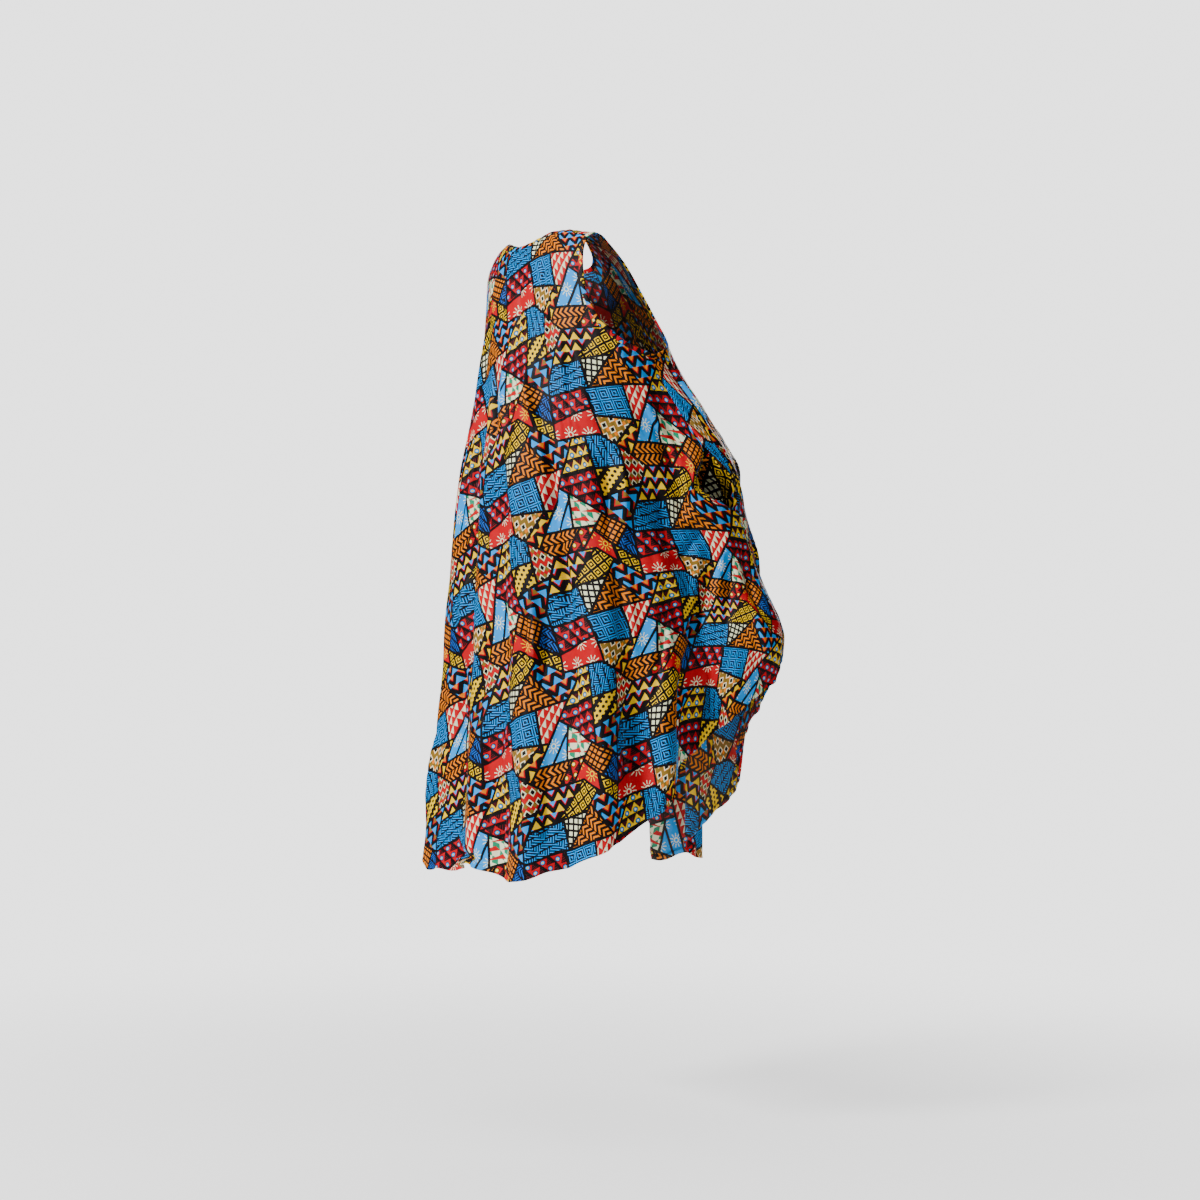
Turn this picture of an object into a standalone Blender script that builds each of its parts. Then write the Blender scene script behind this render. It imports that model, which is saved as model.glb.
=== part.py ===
"""A loose sleeveless A-line dress in wax print cotton, in the form it keeps while it is worn.

The dress has a front and a back panel, a bias strip round the neck and round each armhole, and a
pocket bag in the right side seam, which a hand has pulled forward and out. The hem dips at the
centres and rises at the side seams. Metres, +Z up: the front faces -Y, the wearer's right is -X,
and the origin is midway between the shoulder seams, where the shoulders hold the dress.
"""

import math

import bmesh
import bpy
import numpy as np
from mathutils import Vector
from mathutils.bvhtree import BVHTree

# Cloth and seams
WALL = 0.0014                # thickness of the panels
BAG_WALL = 0.0012            # thickness of the pocket bag
SEAM_GAP = 0.0003            # room left between pieces that are sewn together

# The cut, as distances down the cloth from the shoulder seam
BACK_NECK_DROP = 0.060
FRONT_NECK_DROP = 0.095
UNDERARM_DROP = 0.264
CORNER_DROP = 0.815          # where a side seam meets the hem
CENTRE_DROP = 1.165          # the lowest point of the hem, at the centre back and front
HEM_CURVE = 2.6              # how late the hem rises towards the side seams
NECK_SHARE = 0.5             # neck width as a share of the width from shoulder end to shoulder end
NECK_ROUND = 0.75            # how round the neckline's foot is

# The shoulders: the right one is raised, the left one slopes
NECK_POINT_HEIGHT = 0.005
SHOULDER_SLOPE_RIGHT = 0.18
SHOULDER_SLOPE_LEFT = 0.46
SLOPE_START = 0.085          # distance from the centre where the slope begins
SLOPE_FADE = 0.34            # distance down the cloth over which the slope is lost

# The grid of a panel, and the rows of a side edge between which the pocket's mouth is open
COLUMNS = 36
NECK_COLUMN = round(COLUMNS * (1 - NECK_SHARE) / 2)
ARMHOLE_ROWS = 14
ROW_COUNT = 36
ROW_SPREAD = 1.30            # how much closer the rows are at the shoulders
MOUTH_TOP_ROW = 20
MOUTH_FOOT_ROW = 25

# Bias strips
STRIP_WIDTH = 0.0065
STRIP_WALL = 0.0010
STRIP_GAP = 0.0008
STRIP_CLEAR = 0.0006         # the least room left where the cloth bulges under the strip
STRIP_LIFT = 0.0003          # the most that one test of that room lifts a leaf
STRIP_STEPS = 2              # steps of the strip for each cell of the panel's edge

# Angles run round the body in degrees: 0 at the back, 90 at the right, 180 at the front.
# A row for each level: the drop down the cloth, the height, then the section's reach to each side
# and the fullness of its four corners, where 1 is a plain ellipse.
SECTION_COLUMNS = ("drop", "height", "side_y", "right", "left", "back_y", "front_y",
                   "back_right", "front_right", "front_left", "back_left")
SECTIONS = (
    (0.000, 0.000, 0.000, 0.195, 0.195, 0.000, 0.000, 1.00, 1.00, 1.00, 1.00),
    (0.020, -0.003, -0.003, 0.198, 0.196, 0.021, -0.022, 1.00, 1.00, 1.00, 1.00),
    (0.050, -0.018, -0.012, 0.204, 0.198, 0.044, -0.048, 1.00, 1.00, 1.00, 1.00),
    (0.090, -0.049, -0.028, 0.214, 0.201, 0.060, -0.080, 1.01, 1.02, 1.00, 1.00),
    (0.140, -0.096, -0.046, 0.226, 0.206, 0.069, -0.110, 1.02, 1.04, 1.00, 1.00),
    (0.200, -0.154, -0.062, 0.236, 0.214, 0.076, -0.138, 1.02, 1.07, 1.01, 1.00),
    (0.260, -0.212, -0.072, 0.243, 0.222, 0.084, -0.160, 1.02, 1.12, 1.04, 1.01),
    (0.360, -0.309, -0.082, 0.248, 0.234, 0.098, -0.192, 1.01, 1.32, 1.14, 1.03),
    (0.460, -0.406, -0.088, 0.252, 0.244, 0.110, -0.222, 1.00, 1.47, 1.24, 1.05),
    (0.550, -0.494, -0.090, 0.255, 0.252, 0.116, -0.240, 1.00, 1.48, 1.27, 1.05),
    (0.620, -0.562, -0.091, 0.259, 0.257, 0.119, -0.252, 1.01, 1.48, 1.28, 1.06),
    (0.770, -0.709, -0.092, 0.271, 0.266, 0.127, -0.270, 1.02, 1.60, 1.30, 1.07),
    (0.930, -0.866, -0.090, 0.282, 0.276, 0.138, -0.282, 1.03, 1.38, 1.24, 1.08),
    (1.170, -1.102, -0.088, 0.292, 0.288, 0.154, -0.286, 1.04, 1.10, 1.14, 1.10),
)

# Where the side seams run, in degrees round the body
SEAM_COLUMNS = ("drop", "right_seam", "left_seam")
SEAMS = (
    (0.000, 90.0, 270.0),
    (UNDERARM_DROP, 92.0, 269.0),
    (0.360, 106.0, 260.0),
    (0.450, 117.0, 252.0),
    (0.545, 126.0, 246.0),
    (0.680, 134.0, 240.0),
    (CORNER_DROP, 138.0, 236.0),
    (1.170, 138.0, 234.0),
)

# Where the hem rides up or dips: the share of the panel's width, how wide it is, and the rise
HEM_RISE_COLUMNS = ("middle", "width", "rise")
BACK_HEM_RISES = (
    (-0.30, 0.05, -0.016),
    (-0.03, 0.07, 0.024),
    (0.40, 0.10, 0.012),
    (0.86, 0.08, 0.016),
)
FRONT_HEM_RISES = (
    (-0.55, 0.05, 0.016),
    (-0.05, 0.08, 0.018),
    (0.40, 0.07, 0.014),
)

# Folds: the angle of each at its top and at the hem, the drops where it starts and where it is
# full, its width in degrees and its depth, out of the cloth where positive
FOLD_COLUMNS = ("top_angle", "hem_angle", "start", "full", "width", "depth")
FOLDS = (
    (-88.0, -92.0, 0.40, 1.00, 7.0, -0.022),
    (-68.0, -74.0, 0.34, 1.00, 8.0, 0.022),
    (-46.0, -54.0, 0.24, 0.90, 6.5, -0.024),
    (-31.0, -36.0, 0.20, 0.80, 6.5, 0.015),
    (-17.0, -10.0, 0.16, 0.44, 6.0, -0.020),
    (-2.0, 5.0, 0.18, 0.70, 6.5, 0.013),
    (10.0, 20.0, 0.34, 0.80, 5.5, -0.017),
    (18.0, 34.0, 0.16, 0.50, 7.0, 0.019),
    (38.0, 47.0, 0.34, 0.90, 6.5, -0.021),
    (56.0, 60.0, 0.44, 0.95, 6.0, 0.018),
    (72.0, 73.0, 0.46, 0.95, 5.5, -0.020),
    (88.0, 86.0, 0.50, 0.95, 5.5, 0.018),
    (114.0, 100.0, 0.48, 0.78, 7.0, -0.036),
    (147.0, 147.0, 0.48, 0.90, 3.5, -0.026),
    (154.0, 154.0, 0.44, 0.90, 4.5, 0.020),
    (162.0, 165.0, 0.36, 0.90, 5.5, -0.044),
    (174.0, 178.0, 0.28, 0.95, 6.0, 0.032),
    (188.0, 192.0, 0.30, 0.90, 6.0, -0.042),
    (202.0, 206.0, 0.30, 0.95, 6.0, 0.030),
    (217.0, 221.0, 0.36, 0.95, 6.0, -0.034),
    (256.0, 254.0, 0.40, 0.95, 7.0, -0.028),
)

# The armhole's edge: its share of the way from shoulder to underarm, the drop, and how far out it
# lies as a share of the section's half length, on the back and on the front
ARMHOLE_COLUMNS = ("share", "drop", "back_reach", "front_reach")
ARMHOLE = (
    (0.00, 0.000, 0.908, 0.908),
    (0.06, 0.010, 0.898, 0.900),
    (0.14, 0.023, 0.872, 0.878),
    (0.27, 0.052, 0.800, 0.814),
    (0.40, 0.092, 0.728, 0.746),
    (0.54, 0.145, 0.685, 0.692),
    (0.68, 0.192, 0.718, 0.708),
    (0.80, 0.225, 0.795, 0.780),
    (0.90, 0.249, 0.885, 0.875),
    (1.00, UNDERARM_DROP, 1.000, 1.000),
)

# The pull of the hand lifts the cloth below it
PULL_LIFT = 0.055
LIFT_ANGLE = 112.0
LIFT_WIDTH = 26.0
LIFT_START = 0.55
LIFT_FULL = 0.90

# The pocket's mouth gapes: the back edge falls back and the front edge is pushed forward
BACK_GAPE = 13.0             # degrees
FRONT_GAPE = 7.0
GAPE_REACH = 3.5             # how closely the pull keeps to the edge
GAPE_LAG = 1.5               # how far down the mouth the gape is widest

# The pocket bag, which hangs inside from the mouth
BAG_LENGTH = 0.190
BAG_DIRECTION = (0.86, -0.10, -0.50)
BAG_HALF_WIDTH = 0.058
BAG_HALF_DEPTH = 0.018
BAG_INSET = 0.0040           # how far the bag's mouth lies inside the panels
BAG_MOUTH_SHRINK = 0.08      # how much smaller than the opening its mouth is
BAG_RINGS = 10
BAG_MOUTH_SHARE = 0.45       # the share of its length over which the mouth turns into an oval
BAG_ROUND_START = 0.60       # where its round foot begins

# Finish of each piece: colour, roughness
BACK_COLOUR = (0.55, 0.14, 0.08, 1.0)
FRONT_COLOUR = (0.70, 0.34, 0.07, 1.0)
STRIP_COLOUR = (0.06, 0.20, 0.50, 1.0)
BAG_COLOUR = (0.60, 0.42, 0.10, 1.0)
CLOTH_ROUGHNESS = 0.8


def column(table, names, name):
    """One named column of a table."""
    return np.array([row[names.index(name)] for row in table], float)


def smooth_value(knots, values, at):
    """A smooth curve through the knots that never overshoots between them."""
    at = np.clip(np.asarray(at, float), knots[0], knots[-1])
    step = np.diff(knots)
    slope = np.diff(values) / step
    tangent = np.zeros(len(knots))
    tangent[0], tangent[-1] = slope[0], slope[-1]
    for i in range(1, len(knots) - 1):
        if slope[i - 1] * slope[i] > 0:
            before, after = 2 * step[i] + step[i - 1], step[i] + 2 * step[i - 1]
            tangent[i] = (before + after) / (before / slope[i - 1] + after / slope[i])
    i = np.clip(np.searchsorted(knots, at, side="right") - 1, 0, len(knots) - 2)
    u = (at - knots[i]) / step[i]
    rise = (3 - 2 * u) * u * u
    return (values[i] * (1 - rise) + values[i + 1] * rise
            + step[i] * u * (1 - u) * ((1 - u) * tangent[i] - u * tangent[i + 1]))


def section_value(name, drop):
    """A column of the sections at a drop."""
    knots = column(SECTIONS, SECTION_COLUMNS, "drop")
    return smooth_value(knots, column(SECTIONS, SECTION_COLUMNS, name), drop)


def seam_angle(name, drop):
    """Where a side seam runs at a drop."""
    knots = column(SEAMS, SEAM_COLUMNS, "drop")
    return smooth_value(knots, column(SEAMS, SEAM_COLUMNS, name), drop)


def ease(value):
    """A soft step from 0 to 1."""
    value = np.clip(value, 0.0, 1.0)
    return value * value * (3 - 2 * value)


def fold_reach(angle, drop):
    """How far the folds push the cloth out of its plain section."""
    reach = np.zeros(np.broadcast(angle, drop).shape)
    for top, foot, start, full, width, depth in FOLDS:
        middle = top + (foot - top) * np.clip((drop - start) / (CENTRE_DROP - start), 0, 1)
        away = (angle - middle + 180.0) % 360.0 - 180.0
        reach += depth * ease((drop - start) / (full - start)) * np.exp(-0.5 * (away / width) ** 2)
    return reach


def shoulder_height(x):
    """Height of the shoulder line across the dress."""
    slope = np.where(x > 0, SHOULDER_SLOPE_LEFT, SHOULDER_SLOPE_RIGHT)
    past = np.abs(x) - SLOPE_START
    softened = 0.5 * (past + np.sqrt(past * past + 0.0004))
    return NECK_POINT_HEIGHT - slope * softened


def cloth_point(angle, drop):
    """The point of the draped cloth at an angle round the body and a drop down from the shoulder."""
    turn = np.radians(angle)
    sine, cosine = np.sin(turn), np.cos(turn)
    side_y = section_value("side_y", drop)
    wide = np.where(sine > 0, section_value("right", drop), section_value("left", drop))
    deep = np.where(cosine > 0, section_value("back_y", drop) - side_y,
                    side_y - section_value("front_y", drop))
    right_corner = np.where(cosine > 0, section_value("back_right", drop),
                            section_value("front_right", drop))
    left_corner = np.where(cosine > 0, section_value("back_left", drop),
                           section_value("front_left", drop))
    corner = np.where(sine > 0, right_corner, left_corner)
    fullness = 1.0 + (corner - 1.0) * np.sin(2 * turn) ** 2
    x = -wide * sine * fullness
    y = deep * cosine * fullness
    reach = fold_reach(angle, drop)
    length = np.maximum(np.hypot(x, y), 1e-6)
    x, y = x * (1 + reach / length), y * (1 + reach / length)
    away = (angle - LIFT_ANGLE + 180.0) % 360.0 - 180.0
    lift = PULL_LIFT * ease((drop - LIFT_START) / (LIFT_FULL - LIFT_START))
    z = (section_value("height", drop) + shoulder_height(x) * (1 - ease(drop / SLOPE_FADE))
         + lift * np.exp(-0.5 * (away / LIFT_WIDTH) ** 2))
    return np.stack(np.broadcast_arrays(x, y + side_y, z), axis=-1)


class Panel:
    """One panel, from one side seam to the other."""

    def __init__(self, seams, neck_drop, reach_name, hem_rises, mouth_side, gape):
        self.seams = seams
        self.hem_rises = hem_rises
        self.neck_drop = neck_drop
        self.reach_name = reach_name
        self.mouth_side = mouth_side
        self.gape = gape
        self.drops = np.linspace(0.0, 1.2, 97)
        self.shares = np.linspace(-1.0, 1.0, 121)
        self.angles = self.even_angles()

    def even_angles(self):
        """Angles that part each section into equal lengths of cloth, a row for each drop."""
        rows = []
        for drop in self.drops:
            first, last = (seam_angle(name, drop) + turns * 360.0 for name, turns in self.seams)
            angle = np.linspace(first, last, 721)
            place = cloth_point(angle, np.full(angle.shape, drop))
            steps = np.linalg.norm(np.diff(place, axis=0), axis=1)
            length = np.concatenate(([0.0], np.cumsum(steps)))
            rows.append(np.interp((self.shares + 1) / 2, length / length[-1], angle))
        return np.array(rows)

    def angle(self, share, drop, row):
        """The angle round the body at a share of the panel's width, with the pocket's mouth open."""
        level = np.clip(drop / self.drops[1], 0, len(self.drops) - 1 - 1e-9)
        place = np.clip((share + 1) / (self.shares[1] + 1), 0, len(self.shares) - 1 - 1e-9)
        i, j = level.astype(int), place.astype(int)
        u, v = level - i, place - j
        upper = self.angles[i, j] * (1 - v) + self.angles[i, j + 1] * v
        lower = self.angles[i + 1, j] * (1 - v) + self.angles[i + 1, j + 1] * v
        open_share = np.clip((row - MOUTH_TOP_ROW) / (MOUTH_FOOT_ROW - MOUTH_TOP_ROW), 0, 1)
        pull = np.sin(math.pi * open_share ** GAPE_LAG)
        near = np.clip(share * self.mouth_side, 0, 1) ** GAPE_REACH
        return upper * (1 - u) + lower * u + self.gape * pull * near

    def edge(self, row):
        """The drop and the reach of the side edge at a row, down the armhole and the side seam."""
        share = np.clip(row / ARMHOLE_ROWS, 0, 1)
        knots = column(ARMHOLE, ARMHOLE_COLUMNS, "share")
        armhole_drop = smooth_value(knots, column(ARMHOLE, ARMHOLE_COLUMNS, "drop"), share)
        reach = smooth_value(knots, column(ARMHOLE, ARMHOLE_COLUMNS, self.reach_name), share)
        below = (row - ARMHOLE_ROWS) / (ROW_COUNT - ARMHOLE_ROWS)
        seam_drop = UNDERARM_DROP + (CORNER_DROP - UNDERARM_DROP) * below
        return np.where(row < ARMHOLE_ROWS, armhole_drop, seam_drop), reach

    def points(self, rows, shares):
        """Points of the middle of the cloth for rows of the grid and shares of the width."""
        row, share = np.meshgrid(rows, shares, indexing="ij")
        edge_drop, reach = self.edge(row)
        inward = np.clip(np.abs(share) / NECK_SHARE, 0, 1)
        top = self.neck_drop * np.clip(np.cos(inward * math.pi / 2), 0, 1) ** NECK_ROUND
        side = np.abs(share) ** HEM_CURVE
        foot = CENTRE_DROP + (CORNER_DROP - CENTRE_DROP) * side
        for middle, width, rise in self.hem_rises:
            foot = foot - rise * np.exp(-0.5 * ((share - middle) / width) ** 2)
        down = (row / ROW_COUNT) ** ROW_SPREAD
        down = down + (edge_drop / CORNER_DROP - down) * side
        drop = top + (foot - top) * down
        place = share * (1 - (1 - reach) * np.abs(share))
        return cloth_point(self.angle(place, drop, row), drop)


def unit(vectors):
    """The same directions at length 1."""
    return vectors / np.linalg.norm(vectors, axis=-1, keepdims=True)


def grid_normals(points):
    """Outward normals of a grid whose columns run round the body and whose rows run down."""
    across = np.gradient(points, axis=1)
    down = np.gradient(points, axis=0)
    return unit(np.cross(down, across))


def sewn_edges():
    """The grid places of each pair of sewn edges: rows and columns of the back, then of the front."""
    below = np.r_[ARMHOLE_ROWS:ROW_COUNT + 1]
    closed = below[(below <= MOUTH_TOP_ROW) | (below >= MOUTH_FOOT_ROW)]
    shoulder = np.r_[0:NECK_COLUMN + 1]
    return (((closed[closed <= MOUTH_TOP_ROW], COLUMNS), (closed[closed <= MOUTH_TOP_ROW], 0)),
            ((closed[closed >= MOUTH_FOOT_ROW], COLUMNS), (closed[closed >= MOUTH_FOOT_ROW], 0)),
            ((below, 0), (below, COLUMNS)),
            ((0, shoulder), (0, COLUMNS - shoulder)),
            ((0, COLUMNS - shoulder), (0, shoulder)))


def part_seam(first_points, first_normals, first_at, second_points, second_normals, second_at):
    """Give two sewn edges one normal and move each edge back by half of the seam gap."""
    middle = (first_points[first_at] + second_points[second_at]) / 2
    normal = unit(first_normals[first_at] + second_normals[second_at])
    away = unit(np.cross(np.gradient(middle, axis=0), normal))
    centre = first_points.mean(axis=(0, 1)) - second_points.mean(axis=(0, 1))
    away *= np.sign((away * centre).sum(axis=-1, keepdims=True))
    first_points[first_at] = middle + away * SEAM_GAP / 2
    second_points[second_at] = middle - away * SEAM_GAP / 2
    first_normals[first_at] = normal
    second_normals[second_at] = normal


def cell_triangles(grid):
    """Triangles of a grid's cells, as rows of point numbers. Each cell is cut the shorter way."""
    rows, columns = grid.shape[:2]
    flat = grid.reshape(-1, 3)
    place = np.arange(rows * columns).reshape(rows, columns)
    a, b, c, d = (corner.ravel() for corner in (place[:-1, :-1], place[1:, :-1], place[1:, 1:],
                                                place[:-1, 1:]))
    down = np.linalg.norm(flat[a] - flat[c], axis=1) < np.linalg.norm(flat[b] - flat[d], axis=1)
    first = np.where(down[:, None], np.stack((a, b, c), axis=1), np.stack((a, b, d), axis=1))
    second = np.where(down[:, None], np.stack((a, c, d), axis=1), np.stack((b, c, d), axis=1))
    return np.concatenate((first, second))


def panel_object(name, points, normals, colour):
    """A panel: a wall on both sides of its middle, closed round its edges."""
    form = bmesh.new()
    sides = [[form.verts.new(point) for point in (points + normals * shift).reshape(-1, 3)]
             for shift in (WALL / 2, -WALL / 2)]
    for side in sides:
        for corners in cell_triangles(points):
            form.faces.new([side[corner] for corner in corners])
    place = np.arange(points.shape[0] * points.shape[1]).reshape(points.shape[:2])
    for rim in (place[0], place[-1], place[:, 0], place[:, -1]):
        for start, end in zip(rim, rim[1:]):
            form.faces.new((sides[0][start], sides[0][end], sides[1][end], sides[1][start]))
    finish_object(name, form, colour)


def finish_object(name, form, colour):
    """Turn the faces outward, shade them smooth and put the piece in the scene."""
    mesh = bpy.data.meshes.new(name)
    bmesh.ops.recalc_face_normals(form, faces=form.faces)
    form.to_mesh(mesh)
    form.free()
    mesh.shade_smooth()
    mesh.set_sharp_from_angle(angle=math.radians(50))
    material = bpy.data.materials.new(name + "_cloth")
    material.use_nodes = True
    shader = material.node_tree.nodes["Principled BSDF"]
    shader.inputs["Base Color"].default_value = colour
    shader.inputs["Roughness"].default_value = CLOTH_ROUGHNESS
    shader.inputs["Metallic"].default_value = 0.0
    mesh.materials.append(material)
    bpy.context.scene.collection.objects.link(bpy.data.objects.new(name, mesh))


def refined(loop):
    """A closed loop with its straight stretches cut into equal steps."""
    shares = np.linspace(0, 1, STRIP_STEPS, endpoint=False)[None, :, None]
    return (loop[:, None] * (1 - shares) + np.roll(loop, -1, axis=0)[:, None] * shares).reshape(-1, 3)


def face_tree(panels, shift):
    """A search tree over the faces of some panels on one side of their wall."""
    points, faces = [], []
    for middle, normals in panels:
        faces += (cell_triangles(middle) + len(points)).tolist()
        points += (middle + normals * shift).reshape(-1, 3).tolist()
    return BVHTree.FromPolygons(points, faces)


def nearest(tree, points):
    """The nearest places on the faces of a tree, and the directions those faces look."""
    hits = [tree.find_nearest(point) for point in points]
    return np.array([hit[0] for hit in hits]), np.array([hit[1] for hit in hits])


def strip_leaf(tree, edge, normals, inward, side):
    """The lines of one leaf of a strip, held clear of the cloth's faces on one side of it."""
    rim = edge + normals * side * WALL / 2
    far, facing = nearest(tree, edge + inward * STRIP_WIDTH)
    facing = facing * side
    gap = np.full((len(edge), 1), STRIP_GAP)
    for along in (0.15, 0.3, 0.5, 0.7, 0.85):
        for depth in (0.4, 0.6, 0.8, 1.0):
            near_line, far_line = rim + normals * side * gap, far + facing * gap
            line = near_line * (1 - depth) + far_line * depth
            sample = line * (1 - along) + np.roll(line, -1, axis=0) * along
            place, look = nearest(tree, sample)
            height = ((sample - place) * look * side).sum(axis=-1, keepdims=True)
            short = np.clip(STRIP_CLEAR - height, 0, STRIP_LIFT)
            gap = gap + np.maximum(short, np.roll(short, 1, axis=0))
    over = gap + STRIP_WALL
    return [rim + normals * side * gap - inward * STRIP_GAP, far + facing * gap,
            far + facing * over, rim + normals * side * over - inward * (STRIP_GAP + STRIP_WALL)]


def strip_object(name, edge, normals, trees):
    """A bias strip folded over a closed edge, with a leaf on each side of the cloth."""
    edge, normals = refined(edge), unit(refined(normals))
    along = np.roll(edge, -1, axis=0) - np.roll(edge, 1, axis=0)
    inward = unit(np.cross(normals, along))
    inward *= np.sign((inward * (edge - edge.mean(axis=0))).sum())
    outer, inner = (strip_leaf(tree, edge, normals, inward, side) for tree, side in zip(trees, (1, -1)))
    form = bmesh.new()
    lines = [[form.verts.new(point) for point in line] for line in outer + inner[::-1]]
    for line, beside in zip(lines, lines[1:] + lines[:1]):
        for j in range(len(line)):
            k = (j + 1) % len(line)
            form.faces.new((line[j], line[k], beside[k], beside[j]))
    finish_object(name, form, STRIP_COLOUR)


def joined_loop(back, front):
    """One closed loop from a back edge and a front edge that meet at both ends."""
    start, end = (back[:1] + front[-1:]) / 2, (back[-1:] + front[:1]) / 2
    return np.concatenate((start, back[1:-1], end, front[1:-1]))


def bag_rings(mouth):
    """The middle of the pocket bag's wall: rings from the mouth down to the foot."""
    down = np.array(Vector(BAG_DIRECTION).normalized())
    half = len(mouth) // 2
    wide = mouth[half] - mouth[0]
    wide = unit(wide - down * (wide @ down))
    deep = np.cross(down, wide)
    deep = deep * np.sign((mouth[half // 2] - mouth[-(half // 2)]) @ deep)
    turn = np.linspace(0, 2 * math.pi, len(mouth), endpoint=False)[:, None]
    rings = []
    for step in np.linspace(0, 1, BAG_RINGS):
        narrow = math.sqrt(1 - max((step - BAG_ROUND_START) / (1.02 - BAG_ROUND_START), 0) ** 2)
        oval = (mouth.mean(axis=0) + down * BAG_LENGTH * step
                - np.cos(turn) * wide * BAG_HALF_WIDTH * narrow
                + np.sin(turn) * deep * BAG_HALF_DEPTH * narrow)
        share = ease(step / BAG_MOUTH_SHARE)
        rings.append((mouth + down * BAG_LENGTH * step) * (1 - share) + oval * share)
    return np.array(rings)


def bag_object(name, mouth):
    """The pocket bag: a pouch that is open at the mouth and closed at the foot."""
    middle = bag_rings(mouth)
    steps = unit(np.roll(middle, -1, axis=1) - middle)
    normals = unit(np.cross(np.gradient(middle, axis=0), steps + np.roll(steps, 1, axis=1)))
    centre = middle.mean(axis=1, keepdims=True)
    normals *= np.sign(((middle - centre) * normals).sum(axis=-1, keepdims=True))
    form = bmesh.new()
    sides = [[[form.verts.new(point) for point in ring] for ring in middle + normals * shift]
             for shift in (BAG_WALL / 2, -BAG_WALL / 2)]
    count = len(mouth)
    for side in sides:
        for upper, lower in zip(side, side[1:]):
            for j in range(count):
                k = (j + 1) % count
                form.faces.new((upper[j], lower[j], lower[k], upper[k]))
        form.faces.new(side[-1])
    for j in range(count):
        k = (j + 1) % count
        form.faces.new((sides[0][0][j], sides[0][0][k], sides[1][0][k], sides[1][0][j]))
    finish_object(name, form, BAG_COLOUR)


def main():
    """Clear the scene and make the dress."""
    for item in list(bpy.data.objects):
        bpy.data.objects.remove(item, do_unlink=True)
    back = Panel((("left_seam", -1), ("right_seam", 0)), BACK_NECK_DROP, "back_reach",
                 BACK_HEM_RISES, 1, -BACK_GAPE)
    front = Panel((("right_seam", 0), ("left_seam", 0)), FRONT_NECK_DROP, "front_reach",
                  FRONT_HEM_RISES, -1, FRONT_GAPE)
    rows, shares = np.arange(ROW_COUNT + 1.0), np.linspace(-1, 1, COLUMNS + 1)
    back_points, front_points = back.points(rows, shares), front.points(rows, shares)
    back_normals, front_normals = grid_normals(back_points), grid_normals(front_points)
    for back_at, front_at in sewn_edges():
        part_seam(back_points, back_normals, back_at, front_points, front_normals, front_at)
    panel_object("back_panel", back_points, back_normals, BACK_COLOUR)
    panel_object("front_panel", front_points, front_normals, FRONT_COLOUR)

    panels = ((back_points, back_normals), (front_points, front_normals))
    trees = [face_tree(panels, shift) for shift in (WALL / 2, -WALL / 2)]
    neck = np.r_[NECK_COLUMN:COLUMNS - NECK_COLUMN + 1]
    down, up = np.r_[0:ARMHOLE_ROWS + 1], np.r_[ARMHOLE_ROWS:-1:-1]
    edges = (("neck_binding", (0, neck), (0, neck)),
             ("armhole_binding_right", (down, COLUMNS), (up, 0)),
             ("armhole_binding_left", (down, 0), (up, COLUMNS)))
    for name, back_at, front_at in edges:
        edge = joined_loop(back_points[back_at], front_points[front_at])
        normals = unit(joined_loop(back_normals[back_at], front_normals[front_at]))
        strip_object(name, edge, normals, trees)

    down, up = np.r_[MOUTH_TOP_ROW:MOUTH_FOOT_ROW + 1], np.r_[MOUTH_FOOT_ROW:MOUTH_TOP_ROW - 1:-1]
    mouth = joined_loop(
        (back_points - back_normals * BAG_INSET)[down, COLUMNS],
        (front_points - front_normals * BAG_INSET)[up, 0])
    mouth += (mouth.mean(axis=0) - mouth) * BAG_MOUTH_SHRINK
    bag_object("pocket_bag_right", mouth)


if __name__ == "__main__":
    main()
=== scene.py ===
"""A loose sleeveless A-line dress in ankara wax print cotton, in the form it keeps while it is worn.

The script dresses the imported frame: two printed panels with their creases, a turned hem, bias strips
round the neck and armholes, a pocket bag in the right side seam, the stitching, and a plain studio.
Metres, +Z up: the front faces -Y, the wearer's right is -X, and the origin is at the shoulders.
"""

import functools
import math

import bpy
import numpy as np
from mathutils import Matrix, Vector
from mathutils.bvhtree import BVHTree


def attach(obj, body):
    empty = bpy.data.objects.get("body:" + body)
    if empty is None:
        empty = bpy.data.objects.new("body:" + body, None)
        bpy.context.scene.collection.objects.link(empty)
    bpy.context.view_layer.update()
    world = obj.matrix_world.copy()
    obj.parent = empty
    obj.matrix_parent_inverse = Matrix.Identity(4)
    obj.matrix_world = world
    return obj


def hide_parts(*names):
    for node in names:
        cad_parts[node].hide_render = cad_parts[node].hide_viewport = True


bl_info = {
    "name": "Wax Print Dress",
    "version": (1, 0, 0),
    "blender": (4, 5, 0),
    "location": "View3D > Sidebar > Dress",
    "description": "Makes a worn A-line dress in patchwork wax print cotton",
    "category": "Add Mesh",
}

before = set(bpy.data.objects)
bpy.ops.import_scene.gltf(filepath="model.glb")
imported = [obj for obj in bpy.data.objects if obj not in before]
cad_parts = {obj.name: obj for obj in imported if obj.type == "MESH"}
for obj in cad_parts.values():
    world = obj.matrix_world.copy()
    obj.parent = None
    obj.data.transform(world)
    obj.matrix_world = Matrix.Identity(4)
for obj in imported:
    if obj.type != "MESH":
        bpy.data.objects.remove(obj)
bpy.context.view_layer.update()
BODY = "root"

# ---- The cut and the draped form, as in the frame's own solids --------------

# A drop is measured down the cloth from the shoulder, an angle goes round the body from the middle
# of the back towards the wearer's right, and a share runs across a panel, from -1 at one side seam
# to 1 at the other.

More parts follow.
